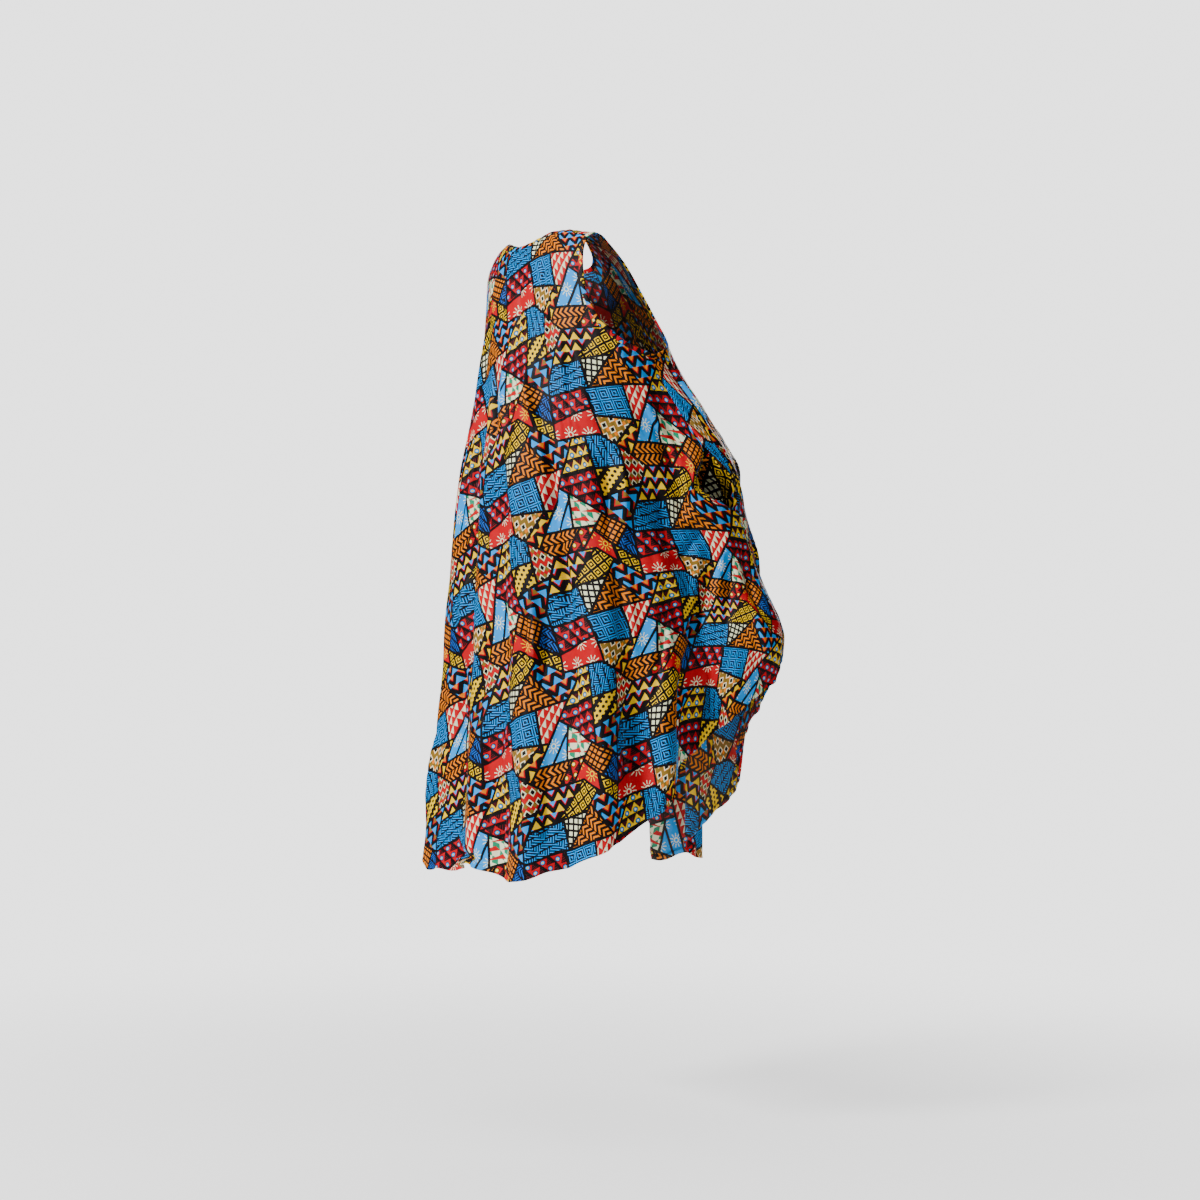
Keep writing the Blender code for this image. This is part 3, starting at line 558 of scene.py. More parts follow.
def join_edges(first, first_at, second, second_at):
    """Give two sewn edges one line and one normal, with a hair's gap between them."""
    middle = (first.points[first_at] + second.points[second_at]) / 2
    normal = unit(first.normals[first_at] + second.normals[second_at])
    away = unit(np.cross(np.gradient(middle, axis=0), normal))
    centre = first.points.mean(axis=(0, 1)) - second.points.mean(axis=(0, 1))
    away *= np.sign((away * centre).sum(axis=-1, keepdims=True))
    first.points[first_at] = middle + away * SEAM_GAP / 2
    second.points[second_at] = middle - away * SEAM_GAP / 2
    first.normals[first_at] = second.normals[second_at] = normal


@functools.lru_cache(maxsize=None)
def dress_grids():
    """The fine grids of the back and front panels, sewn to each other."""
    back_cut = ClothPanel((("left_seam", -1), ("right_seam", 0)), BACK_NECK_DROP, "back_reach",
                          BACK_HEM_RISES, 1, -BACK_GAPE, BACK_FLARE)
    front_cut = ClothPanel((("right_seam", 0), ("left_seam", 0)), FRONT_NECK_DROP, "front_reach",
                           FRONT_HEM_RISES, -1, FRONT_GAPE, FRONT_FLARE)
    back, front = FineGrid(back_cut, BACK_CREASES), FineGrid(front_cut, FRONT_CREASES)
    last, foot = len(back.shares) - 1, len(back.rows)
    underarm, mouth_top, mouth_foot = (back.row_at(row) for row in (ARMHOLE_ROWS, *MOUTH_ROWS))
    for rows in (np.arange(underarm, mouth_top + 1), np.arange(mouth_foot, foot)):
        join_edges(back, (rows, last), front, (rows, 0))
    rows = np.arange(underarm, foot)
    join_edges(back, (rows, 0), front, (rows, last))
    shoulder = np.arange(back.column_at(-NECK_SHARE) + 1)
    join_edges(back, (0, shoulder), front, (0, last - shoulder))
    join_edges(back, (0, last - shoulder), front, (0, shoulder))
    return back, front


# ---- Settings ---------------------------------------------------------------


def length_setting(name, description, default):
    """A property that holds a length in metres."""
    return bpy.props.FloatProperty(name=name, description=description, default=default, min=0.0,
                                   subtype="DISTANCE", unit="LENGTH", precision=5)


def colour_setting(name, description, default):
    """A property that holds a colour."""
    return bpy.props.FloatVectorProperty(name=name, description=description, default=default,
                                         size=3, min=0.0, max=1.0, subtype="COLOR")


class DressSizes(bpy.types.PropertyGroup):
    """Sizes of the cloth, the strips and the stitches."""

    cloth_wall: length_setting("Cloth", "Thickness of the panels", 0.0009)
    hem_wall: length_setting("Hem", "Extra thickness where the hem is turned up", 0.0009)
    strip_width: length_setting("Strip Width", "Width of the bound edges", 0.0065)
    strip_wall: length_setting("Strip", "Thickness of the bias strips", 0.0006)
    stitch_length: length_setting("Stitch Length", "Length of one stitch", 0.0026)
    stitch_step: length_setting("Stitch Step", "Distance from stitch to stitch", 0.0036)
    thread: length_setting("Thread", "Thickness of the thread", 0.0006)


class PrintSettings(bpy.types.PropertyGroup):
    """The print's repeat and its dye colours."""

    repeat_width: length_setting("Repeat Width", "Width of one repeat of the print", 0.320)
    repeat_height: length_setting("Repeat Height", "Height of one repeat of the print", 0.200)
    outline: length_setting("Outline", "Width of the black lines between patches", 0.0045)
    black: colour_setting("Black", "Ground and outlines", (0.006, 0.004, 0.005))
    red: colour_setting("Red", "Red dye", (0.58, 0.002, 0.010))
    maroon: colour_setting("Maroon", "Dark red dye", (0.13, 0.006, 0.012))
    orange: colour_setting("Orange", "Orange dye", (0.90, 0.225, 0.0))
    yellow: colour_setting("Yellow", "Yellow dye", (1.0, 0.62, 0.0))
    ochre: colour_setting("Ochre", "Brown yellow dye", (0.24, 0.145, 0.020))
    cream: colour_setting("Cream", "Undyed cotton", (0.92, 0.95, 0.62))
    light_blue: colour_setting("Light Blue", "Pale blue dye", (0.002, 0.340, 0.92))
    blue: colour_setting("Blue", "Blue dye", (0.006, 0.13, 0.60))
    green: colour_setting("Green", "Green dye", (0.006, 0.28, 0.14))


class StudioSettings(bpy.types.PropertyGroup):
    """The floor, the lights and the camera."""

    floor_height: bpy.props.FloatProperty(name="Floor", description="Height of the floor",
                                          default=-1.53, unit="LENGTH")
    camera_azimuth: bpy.props.FloatProperty(name="Camera Azimuth", description="0 looks along +Y",
                                            default=math.radians(240.0), subtype="ANGLE")
    camera_distance: length_setting("Camera Distance", "From the aim to the camera", 4.5)
    lens: bpy.props.FloatProperty(name="Lens", description="Focal length in millimetres",
                                  default=78.0, min=10.0)


# ---- Materials --------------------------------------------------------------


NODE_SPACING = (190, -240)   # from one node to the next in the editor, across and up
NODES_IN_ROW = 30


def new_node(tree, kind, *sources):
    """A node laid out in rows in the editor, with its first inputs linked to the sources."""
    node = tree.nodes.new("ShaderNode" + kind)
    row, column = divmod(len(tree.nodes), NODES_IN_ROW)
    node.location = (NODE_SPACING[0] * column, NODE_SPACING[1] * row)
    for source, slot in zip(sources, node.inputs):
        tree.links.new(source, slot)
    return node


def feed(tree, slot, value):
    """Link a field or a socket to a slot, or put a number or a colour in it."""
    if isinstance(value, Field):
        value = value.socket
    if isinstance(value, bpy.types.NodeSocket):
        tree.links.new(value, slot)
    else:
        slot.default_value = value


class Field:
    """A number that changes over the cloth, worked out by a chain of Math nodes."""

    def __init__(self, tree, socket):
        self.tree, self.socket = tree, socket

    def math(self, operation, *others):
        """The result of one Math node on this number and others."""
        node = new_node(self.tree, "Math")
        node.operation = operation
        for slot, value in zip(node.inputs, (self, *others)):
            feed(self.tree, slot, value)
        return Field(self.tree, node.outputs[0])

    def wrap(self, high, low=0.0):
        """The number carried round into a range."""
        return self.math("WRAP", high, low)

    def centred(self, step):
        """The distance from the middle of the step that the number falls in, signed."""
        return self.wrap(step / 2, -step / 2)


# The signs and words that a field understands: "&" takes the lower of two, "|" the higher, "bounce"
# runs up to a step and back down, and "near" is 1 within reach of a middle and otherwise 0
for sign, kind in (("__add__", "ADD"), ("__sub__", "SUBTRACT"), ("__mul__", "MULTIPLY"),
                   ("__truediv__", "DIVIDE"), ("__lt__", "LESS_THAN"), ("__gt__", "GREATER_THAN"),
                   ("__and__", "MINIMUM"), ("__or__", "MAXIMUM"), ("__abs__", "ABSOLUTE"),
                   ("bounce", "PINGPONG"), ("near", "COMPARE")):
    setattr(Field, sign, functools.partialmethod(Field.math, kind))


def parted(tree, vector):
    """The two numbers of a place on the cloth."""
    parts = new_node(tree, "SeparateXYZ", vector)
    return Field(tree, parts.outputs[0]), Field(tree, parts.outputs[1])


def paint(mask, below, above):
    """One colour where a mask is 0 and another where it is 1."""
    node = new_node(mask.tree, "Mix")
    node.data_type = "RGBA"
    for slot, value in zip((node.inputs[0], node.inputs[6], node.inputs[7]), (mask, below, above)):
        feed(mask.tree, slot, value)
    return node.outputs[2]


def distance(across, down):
    """The distance from a middle, from the distances across and down."""
    return (across * across + down * down).math("SQRT")


def staggered(x, y, size, share):
    """The distance across, with each row moved on by a share of the size."""
    return x + (y / size + 0.5).math("FLOOR") * (size * share)


# Motifs. Each takes the distances across and down inside its patch, in metres, a size and colours.


def chevrons(x, y, size, ground, stripe):
    """Rows of arrowheads."""
    zigzag = y.bounce(size / 2)
    arrow = (x + zigzag * 0.95).wrap(size * 0.52) < size * 0.225
    return paint(arrow & (zigzag > size * 0.055), ground, stripe)


def eyed_bands(x, y, size, ground, tooth, hatch, ring, pupil):
    """Bands with a row of hatched teeth and an eye between each two."""
    level = y.wrap(size)
    teeth = level < x.bounce(size * 0.45) * 1.45
    lines = (x + y * 0.35).wrap(size * 0.17) < size * 0.065
    reach = distance(x.centred(size * 0.90), level - size * 0.62)
    colour = paint(teeth, ground, paint(lines & (level > size * 0.12), tooth, hatch))
    colour = paint(level > size * 0.86, colour, tooth)
    for share, layer in ((0.235, tooth), (0.17, ring), (0.085, pupil)):
        colour = paint(reach < size * share, colour, layer)
    return colour


def key_squares(x, y, size, ground, line):
    """Square spirals in square cells."""
    across, down = x.centred(size), y.centred(size)
    rings = (abs(across) | abs(down)) + (across > down) * (size * 0.10)
    return paint((rings - size * 0.02).wrap(size * 0.24) < size * 0.142, ground, line)


def lattice(x, y, size, ground, bar):
    """Crossed bars over small squares."""
    return paint((x.wrap(size) & y.wrap(size)) < size * 0.36, ground, bar)


def diamonds(x, y, size, first, second, rim, core):
    """Outlined diamonds on two-coloured zigzags."""
    across = abs(staggered(x, y, size, 0.40).centred(size * 0.80))
    reach = across * 1.35 + abs(y.centred(size))
    ground = (y + x.bounce(size * 0.40) * 1.2).wrap(size) < size * 0.5
    colour = paint(reach < size * 0.44, paint(ground, first, second), rim)
    return paint(reach < size * 0.29, colour, core)


def suns(x, y, size, ground, ray):
    """Small suns, each a ring with rays, set apart from one another."""
    across, down = staggered(x, y, size, 0.45).centred(size), y.centred(size)
    reach = distance(across, down)
    spread = down.math("ARCTAN2", across).bounce(math.pi / 11) * reach
    rays = (spread < size * 0.022) & reach.near(size * 0.290, size * 0.095)
    return paint(rays | reach.near(size * 0.120, size * 0.030), ground, ray)


def barred_suns(x, y, size, ground, ray, bar):
    """Suns in strips with a bar between each two."""
    return paint(x.wrap(size) < size * 0.14, suns(x - size * 0.57, y, size, ground, ray), bar)


def hatch_groups(x, y, size, ground, line):
    """Groups of short parallel lines that lean both ways."""
    across, down = x.wrap(size), y.wrap(size * 0.8)
    first, second = x * 0.5 + y, x - y * 0.35
    leaning = first + (across > down) * (second - first)
    lines = leaning.wrap(size * 0.20) < size * 0.088
    return paint(lines & (abs(across - down) > size * 0.09), ground, line)


def nested_squares(x, y, size, ground, line):
    """Separate squares, each with a smaller one inside."""
    reach = abs(x.centred(size)) | abs(y.centred(size))
    return paint(reach.near(size * 0.32, size * 0.050) | (reach < size * 0.12), ground, line)


def spots(x, y, size, ground, spot):
    """Spots in rows, with a bar after every second row."""
    dots = distance(staggered(x, y, size, 0.5).centred(size), y.centred(size)) < size * 0.31
    return paint(dots | ((y + size).wrap(size * 3.0) < size * 0.80), ground, spot)


def teeth(x, y, size, ground, tooth):
    """Rows of saw teeth."""
    return paint(x.wrap(size) < y.wrap(size * 1.1) * 0.66, ground, tooth)


def shards(x, y, size, ground, shard, streak):
    """Long splinters in three colours."""
    slope = y.bounce(size)
    colour = paint((x + slope * 0.6).wrap(size * 1.3) < slope * 1.05, ground, shard)
    return paint((x * 0.6 - y).wrap(size * 1.7) < slope * 0.9, colour, streak)


def pennants(x, y, size, ground, big, small, rim):
    """Big triangles one way up and small rimmed ones the other way up between them."""
    level, slope = y.wrap(size), x.bounce(size * 0.58)
    other = slope * 1.5 - level
    colour = paint(slope * 1.5 < level - size * 0.32, ground, big)
    return paint(other > size * 0.44, paint(other > size * 0.28, colour, rim), small)


# The straight cuts that part one repeat of the print into patches: the part that is cut; the cut's
# two ends, across and down in millimetres; then what lies left of it or above it, and what lies
# right of it or below it. Each cut runs down or leftwards.
PATCH_CUTS = {
    "repeat": (186, 0, 132, 200, "left", "right"),
    "left": (174, 44, 0, 118, "upper_left", "lower_left"),
    "upper_left": (104, 0, 56, 104, "top_corner", "top_middle"),
    "top_corner": (94, 20, 0, 64, "gold_end", "low_top"),
    "gold_end": (60, 0, 26, 56, "night_peaks", "gold_keys"),
    "low_top": (40, 40, 66, 104, "hatch_scrap", "lattice"),
    "top_middle": (92, 0, 164, 58, "arrows", "sky_pennants"),
    "lower_left": (48, 80, 98, 200, "low_corner", "low_middle"),
    "low_corner": (86, 116, 0, 166, "eyes", "red_suns"),
    "low_middle": (168, 118, 60, 142, "blue_keys", "low_right_middle"),
    "blue_keys": (118, 60, 146, 142, "key_field", "saw_strip"),
    "low_right_middle": (142, 120, 96, 200, "diamonds", "gold_scrap"),
    "right": (320, 128, 150, 76, "upper_right", "lower_right"),
    "upper_right": (222, 0, 262, 124, "high_middle", "high_corner"),
    "high_middle": (260, 22, 160, 66, "gold_eyes", "night_squares"),
    "high_corner": (320, 30, 238, 86, "high_edge", "pennants"),
    "high_edge": (276, 0, 292, 60, "spot_end", "red_teeth"),
    "spot_end": (300, 6, 240, 30, "night_ladders", "spots"),
    "lower_right": (252, 96, 206, 200, "deep_middle", "deep_corner"),
    "deep_middle": (250, 126, 130, 168, "deep_high", "low_band"),
    "low_band": (212, 130, 182, 200, "low_arrows", "red_bands"),
    "deep_high": (182, 80, 200, 170, "barred_suns", "shards"),
    "deep_corner": (320, 176, 220, 134, "deep_upper", "deep_lower"),
    "deep_upper": (296, 100, 268, 180, "orange_grid", "night_hatch"),
    "deep_lower": (262, 140, 286, 200, "dawn_suns", "gold_ladders"),
}

# The patches: motif, turn in degrees, size of the motif in metres, and colours
PATCHES = {
    "gold_keys": (nested_squares, 44, 0.0165, ("black", "yellow")),
    "night_peaks": (pennants, 18, 0.0195, ("black", "yellow", "light_blue", "red")),
    "night_ladders": (hatch_groups, -20, 0.022, ("black", "light_blue")),
    "red_bands": (eyed_bands, -66, 0.0205, ("red", "black", "maroon", "yellow", "cream")),
    "hatch_scrap": (hatch_groups, 72, 0.0235, ("black", "light_blue")),
    "lattice": (lattice, 7, 0.0108, ("cream", "black")),
    "arrows": (chevrons, -24, 0.0205, ("black", "orange")),
    "sky_pennants": (pennants, 34, 0.02, ("black", "light_blue", "orange", "red")),
    "eyes": (eyed_bands, -30, 0.0205, ("red", "black", "maroon", "light_blue", "yellow")),
    "red_suns": (suns, 12, 0.037, ("red", "cream")),
    "key_field": (key_squares, 24, 0.0205, ("light_blue", "black")),
    "saw_strip": (teeth, -20, 0.0122, ("red", "cream")),
    "diamonds": (diamonds, -14, 0.018, ("ochre", "orange", "cream", "black")),
    "gold_scrap": (pennants, 50, 0.02, ("black", "yellow", "orange", "red")),
    "gold_eyes": (eyed_bands, 24, 0.0205, ("yellow", "black", "maroon", "light_blue", "cream")),
    "night_squares": (eyed_bands, 24, 0.0205, ("red", "black", "maroon", "light_blue", "yellow")),
    "spots": (spots, 64, 0.009, ("yellow", "black")),
    "red_teeth": (diamonds, 20, 0.0175, ("red", "ochre", "cream", "black")),
    "pennants": (pennants, -33, 0.0205, ("black", "light_blue", "ochre", "red")),
    "barred_suns": (barred_suns, -18, 0.034, ("light_blue", "cream", "black")),
    "shards": (shards, 40, 0.011, ("cream", "green", "red")),
    "low_arrows": (chevrons, 22, 0.0205, ("black", "orange")),
    "orange_grid": (lattice, -20, 0.0092, ("orange", "black")),
    "night_hatch": (hatch_groups, 8, 0.024, ("black", "blue")),
    "dawn_suns": (suns, -25, 0.035, ("red", "yellow")),
    "gold_ladders": (nested_squares, -66, 0.016, ("black", "yellow")),
}

BORDER_SWING = 0.030         # how far the zigzag border between two rows of repeats swings
SIDE_SWING = 0.022           # how far the border between two repeats of a row swings


def patch_colour(place, x, y, name, outline, palette):
    """The print's colour inside one part of the repeat, with all that it is cut into."""
    if name in PATCHES:
        motif, turn, size, colours = PATCHES[name]
        mapping = new_node(x.tree, "Mapping", place)
        mapping.inputs["Rotation"].default_value[2] = math.radians(turn)
        return motif(*parted(x.tree, mapping.outputs[0]), size, *(palette[each] for each in colours))
    *ends, first, second = PATCH_CUTS[name]
    x1, y1, x2, y2 = (end / 1000 for end in ends)
    run = math.hypot(x2 - x1, y2 - y1)
    across, down = (y2 - y1) / run, (x2 - x1) / run
    before, after = (patch_colour(place, x, y, part, outline, palette) for part in (first, second))
    off_line = x * across - (y * down + (x1 * across - y1 * down))
    return paint(off_line.near(0.0, outline / 2), paint(off_line > 0.0, before, after), palette["black"])


def print_colour(tree, cut, settings):
    """The colour of the whole print, from the cloth's own places in metres."""
    width, height, outline = settings.repeat_width, settings.repeat_height, settings.outline
    names = {name for patch in PATCHES.values() for name in patch[3]}
    palette = {name: (*getattr(settings, name), 1.0) for name in names}
    across, down = parted(tree, cut)
    level = down + across.bounce(width / 4) * (BORDER_SWING / (width / 4))
    row = (level / height).math("FLOOR")
    y = down - row * height
    shifted = across + row.wrap(2.0) * (width / 2)
    swung = shifted + y.bounce(height / 2) * (SIDE_SWING / (height / 2))
    x = shifted - (swung / width).math("FLOOR") * width
    borders = (level.bounce(height / 2) & swung.bounce(width / 2)) < outline / 2
    place = new_node(tree, "CombineXYZ", x.socket, y.socket).outputs[0]
    return paint(borders, patch_colour(place, x, y, "repeat", outline, palette), palette["black"])


def new_material(name, finish):
    """A material whose shader has a finish, ready for a colour."""
    material = bpy.data.materials.new(name)
    material.use_nodes = True
    shader = material.node_tree.nodes["Principled BSDF"]
    for socket, value in finish.items():
        shader.inputs[socket].default_value = value
    return material, material.node_tree, shader


def noise(tree, vector, scale, detail, strength):
    """Soft random light and dark over a place in metres."""
    node = new_node(tree, "TexNoise", vector)
    node.inputs["Scale"].default_value = scale
    node.inputs["Detail"].default_value = detail
    return Field(tree, node.outputs[0]) * strength


YARN_STEP = 0.0007           # from one yarn of the weave to the next
YARN_HEIGHT = 0.00002
# Noise over the cloth: how fine it is, its detail, and its height or strength
DYE_CLOUDS = (55.0, 3.0, 0.22)
CRUMPLES = (70.0, 4.0, 0.0022)
STREAKS = (38.0, 2.0, 0.0030)
STREAK_STRETCH = (1.0, 0.16, 1.0)
BUMP_STRENGTH = 0.70
WRONG_SIDE_FADE = 0.10       # how far the print fades on the cloth's wrong side
WRONG_SIDE_TINT = (0.30, 0.26, 0.22, 1.0)


@functools.lru_cache(maxsize=None)
def wax_print():
    """The printed cotton: patches of traditional motifs, paler on its wrong side."""
    material, tree, shader = new_material("wax_print_cotton", {
        "Roughness": 0.52, "Specular IOR Level": 0.10, "Sheen Weight": 0.01, "Sheen Roughness": 0.45})
    places = new_node(tree, "UVMap")
    places.uv_map = "cut"
    cut = places.outputs[0]
    side = new_node(tree, "Attribute")
    side.attribute_name = "reverse"
    colour = paint(Field(tree, side.outputs["Fac"]) * WRONG_SIDE_FADE,
                   print_colour(tree, cut, bpy.context.scene.dress_print), WRONG_SIDE_TINT)
    clouded = new_node(tree, "VectorMath", colour)
    clouded.operation = "SCALE"
    feed(tree, clouded.inputs["Scale"], noise(tree, cut, *DYE_CLOUDS) + (1 - DYE_CLOUDS[2] / 2))
    tree.links.new(clouded.outputs[0], shader.inputs["Base Color"])
    warp, weft = ((yarns * (2 * math.pi / YARN_STEP)).math("SINE") for yarns in parted(tree, cut))
    streaks = new_node(tree, "Mapping", cut)
    streaks.inputs["Scale"].default_value = STREAK_STRETCH
    height = (warp * weft * YARN_HEIGHT + noise(tree, cut, *CRUMPLES)
              + noise(tree, streaks.outputs[0], *STREAKS))
    bump = new_node(tree, "Bump")
    bump.inputs["Strength"].default_value = BUMP_STRENGTH
    bump.inputs["Distance"].default_value = 1.0
    feed(tree, bump.inputs["Height"], height)
    tree.links.new(bump.outputs[0], shader.inputs["Normal"])
    return material


@functools.lru_cache(maxsize=None)
def sewing_thread():
    """Dark sewing thread."""
    return new_material("sewing_thread", {"Base Color": (0.022, 0.010, 0.0134, 1.0), "Roughness": 0.7})[0]


# ---- Making pieces ----------------------------------------------------------


def new_piece(name, points, faces, material):
    """A smooth object from points and faces."""
    mesh = bpy.data.meshes.new(name)
    mesh.from_pydata(points.tolist(), [], faces)
    mesh.validate()
    mesh.shade_smooth()
    mesh.materials.append(material)
    piece = bpy.data.objects.new(name, mesh)
    bpy.context.scene.collection.objects.link(piece)
    return piece


def cloth_piece(name, points, faces, places, reverse=0.0, more_faces=()):
    """A printed piece, with its places on the flat cut as a UV map.

    The attribute "reverse" is 1 where the wrong side of the cloth shows.
    """
    more_faces = [tuple(map(int, face)) for face in more_faces]
    piece = new_piece(name, points, faces.tolist() + more_faces, wax_print())
    mesh = piece.data
    corners = np.zeros(len(mesh.loops), int)
    mesh.loops.foreach_get("vertex_index", corners)
    mesh.uv_layers.new(name="cut").data.foreach_set("uv", places[corners].astype(np.float32).ravel())
    side = mesh.attributes.new("reverse", "FLOAT", "POINT")
    side.data.foreach_set("value", np.broadcast_to(reverse, len(points)))
    mesh.set_sharp_from_angle(angle=SHARP_EDGE)
    return piece


def outward(piece):
    """Turn a closed piece's faces outward."""
    bpy.ops.object.select_all(action="DESELECT")
    bpy.context.view_layer.objects.active = piece
    piece.select_set(True)
    bpy.ops.object.mode_set(mode="EDIT")
    bpy.ops.mesh.select_all(action="SELECT")
    bpy.ops.mesh.normals_make_consistent(inside=False)
    bpy.ops.object.mode_set(mode="OBJECT")


def worn(piece, node=None):
    """Put a piece on the dress's body, in the place of a node of the frame."""
    if node:
        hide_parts(node)
    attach(piece, BODY)


def grid_faces(rows, columns):
    """Faces of a grid of points."""
    place = np.arange(rows * columns).reshape(rows, columns)
    corners = (place[:-1, :-1], place[1:, :-1], place[1:, 1:], place[:-1, 1:])
    return np.stack(corners, axis=-1).reshape(-1, 4)


def tube_faces(count, around, closed_along=True):
    """Faces of a tube: count rings of some points each, joined round and, if closed, end to end."""
    ring = np.arange(count if closed_along else count - 1)[:, None]
    side = np.arange(around)[None, :]
    after, beside = (ring + 1) % count, (side + 1) % around
    return np.stack((ring * around + side, after * around + side,
                     after * around + beside, ring * around + beside), axis=-1).reshape(-1, 4)


def panel_shell(name, grid, wall, hem_wall):
    """A panel as a thin closed shell, thicker where the hem is turned up inside."""
    rows, columns = grid.points.shape[:2]
    beyond = rows * columns
    turned_up = ease((grid.rows - (ROW_COUNT - HEM_LINE)) / HEM_TURN)[:, None, None]
    outer = grid.points + grid.normals * wall / 2
    inner = grid.points - grid.normals * (wall / 2 + hem_wall * turned_up)
    points = np.concatenate((outer.reshape(-1, 3), inner.reshape(-1, 3)))
    faces = [grid_faces(rows, columns), grid_faces(rows, columns)[:, ::-1] + beyond]
    place = np.arange(beyond).reshape(rows, columns)
    for rim in (place[0], place[:, -1], place[-1, ::-1], place[::-1, 0]):
        start, end = rim[:-1], rim[1:]
        faces.append(np.stack((start, end, end + beyond, start + beyond), axis=1))
    return cloth_piece(name, points, np.concatenate(faces), np.tile(grid.places.reshape(-1, 2), (2, 1)),
                       np.repeat((0.0, 1.0), beyond))


def joined_loop(back, front):
    """One closed loop from a back edge and a front edge that meet at both ends."""
    start, end = (back[:1] + front[-1:]) / 2, (back[-1:] + front[:1]) / 2
    return np.concatenate((start, back[1:-1], end, front[1:-1]))


def closed(loop):
    """A loop with its first place again at its end."""
    return np.concatenate((loop, loop[:1]))


def finer_loop(loop):
    """A closed loop with each stretch cut into equal steps, rounded over its corners."""
    shares = np.linspace(0, 1, STRIP_SHARPEN, endpoint=False)[None, :, None]
    before, here, after, beyond = (np.roll(loop, 1 - k, axis=0)[:, None] for k in range(4))
    bend = (before - here - after + beyond) * shares * (1 - shares) * STRIP_ROUND
    return (here * (1 - shares) + after * shares - bend).reshape(-1, 3)


@functools.lru_cache(maxsize=None)
def cloth_tree():
    """A search tree over the middle of both panels' cloth."""
    points, faces = [], []
    for grid in dress_grids():
        faces += (grid_faces(*grid.points.shape[:2]) + len(points)).tolist()
        points += grid.points.reshape(-1, 3).tolist()
    return BVHTree.FromPolygons(points, faces)


def on_cloth(points, normals):
    """The nearest places on the cloth, and the way it faces there, on the side the normals look."""
    hits = [cloth_tree().find_nearest(point) for point in points]
    place, facing = np.array([hit[0] for hit in hits]), np.array([hit[1] for hit in hits])
    return place, facing * np.sign((facing * normals).sum(axis=-1, keepdims=True))


def strip_lines(edge, normals, sizes):
    """Lines along a folded bias strip: first over its outside, then back through its inside."""
    along = np.roll(edge, -1, axis=0) - np.roll(edge, 1, axis=0)
    inward = unit(np.cross(normals, along))
    inward *= np.sign((inward * (edge - edge.mean(axis=0))).sum())
    run = run_along(closed(edge))[1:, None]
    near = sizes.cloth_wall / 2 + STRIP_EASE
    far = near + sizes.strip_wall
    outer, inner = [], []
    for side in (1, -1):
        leaf_near, leaf_far = [], []
        drawn = 1 + STRIP_PUCKER * waves(run + STRIP_LAG * side, STRIP_PUCKER_STEPS)
        for share, swell in STRIP_PROFILE:
            place, facing = on_cloth(edge + inward * sizes.strip_width * share, normals)
            leaf_near.append(place + side * facing * (near if share > STRIP_STAND else near + STRIP_EASE))
            leaf_far.append(place + side * facing * (far + swell * drawn))
        outer.append(leaf_far[::side])
        inner.append(leaf_near[::side])
    turns = [[edge + normals * math.sin(bend) * reach - inward * math.cos(bend) * reach
              for bend in map(math.radians, STRIP_TURN)] for reach in (far + STRIP_EASE, near)]
    return outer[0] + turns[0] + outer[1] + (inner[0] + turns[1] + inner[1])[::-1]


def bias_strip(name, edge, lines, sizes):
    """A strip round an edge, from the lines along it, cut at 45 degrees across the print."""
    depth = np.linspace(0, 2 * sizes.strip_width, len(lines) // 2)
    depth = np.concatenate((depth, depth[::-1]))
    run = run_along(closed(edge))[1:, None]
    places = (np.stack((run + depth, run - depth), axis=-1) + BIAS_PLACE) * math.sqrt(0.5)
    piece = cloth_piece(name, np.stack(lines, axis=1).reshape(-1, 3),
                        tube_faces(len(edge), len(lines)), places.reshape(-1, 2))
    outward(piece)
    return piece


def strip_edges(back, front):
    """The neck and armhole edges of the sewn panels, as closed loops of points and normals."""
    down = np.arange(back.row_at(ARMHOLE_ROWS) + 1)
    neck = np.arange(back.column_at(-NECK_SHARE), back.column_at(NECK_SHARE) + 1)
    for name, back_at, front_at in (("neck", (0, neck), (0, neck)),
                                    ("armhole_right", (down, -1), (down[::-1], 0)),
                                    ("armhole_left", (down, 0), (down[::-1], -1))):
        yield (name, joined_loop(back.points[back_at], front.points[front_at]),
               unit(joined_loop(back.normals[back_at], front.normals[front_at])))


def resampled(points, normals, step):
    """Places at equal steps along a line, with the way along it and the normal at each."""
    lengths = run_along(points)
    at = np.arange(step / 2, lengths[-1], step)

    def between(values, where):
        return np.stack([np.interp(where, lengths, values[:, k]) for k in range(3)], axis=-1)

    ahead, behind = (between(points, at + step * aim) for aim in (STITCH_AIM, -STITCH_AIM))
    return between(points, at), unit(ahead - behind), unit(between(normals, at))


def stitch_form(sizes):
    """One stitch: a short rounded bead of thread, as points and faces."""
    bpy.ops.object.select_all(action="DESELECT")
    bpy.ops.mesh.primitive_uv_sphere_add(segments=6, ring_count=4, radius=1.0)
    bead = bpy.context.object
    bpy.ops.object.mode_set(mode="EDIT")
    bpy.ops.transform.rotate(value=math.pi / 2, orient_axis="Y", center_override=(0, 0, 0))
    bpy.ops.transform.resize(value=(sizes.stitch_length / 2, sizes.thread / 2,
                                    sizes.thread / 2 / THREAD_FLAT))
    bpy.ops.object.mode_set(mode="OBJECT")
    mesh = bead.data
    points = np.array([tuple(vertex.co) for vertex in mesh.vertices])
    faces = [tuple(face.vertices) for face in mesh.polygons]
    bpy.data.objects.remove(bead)
    bpy.data.meshes.remove(mesh)
    return points, faces


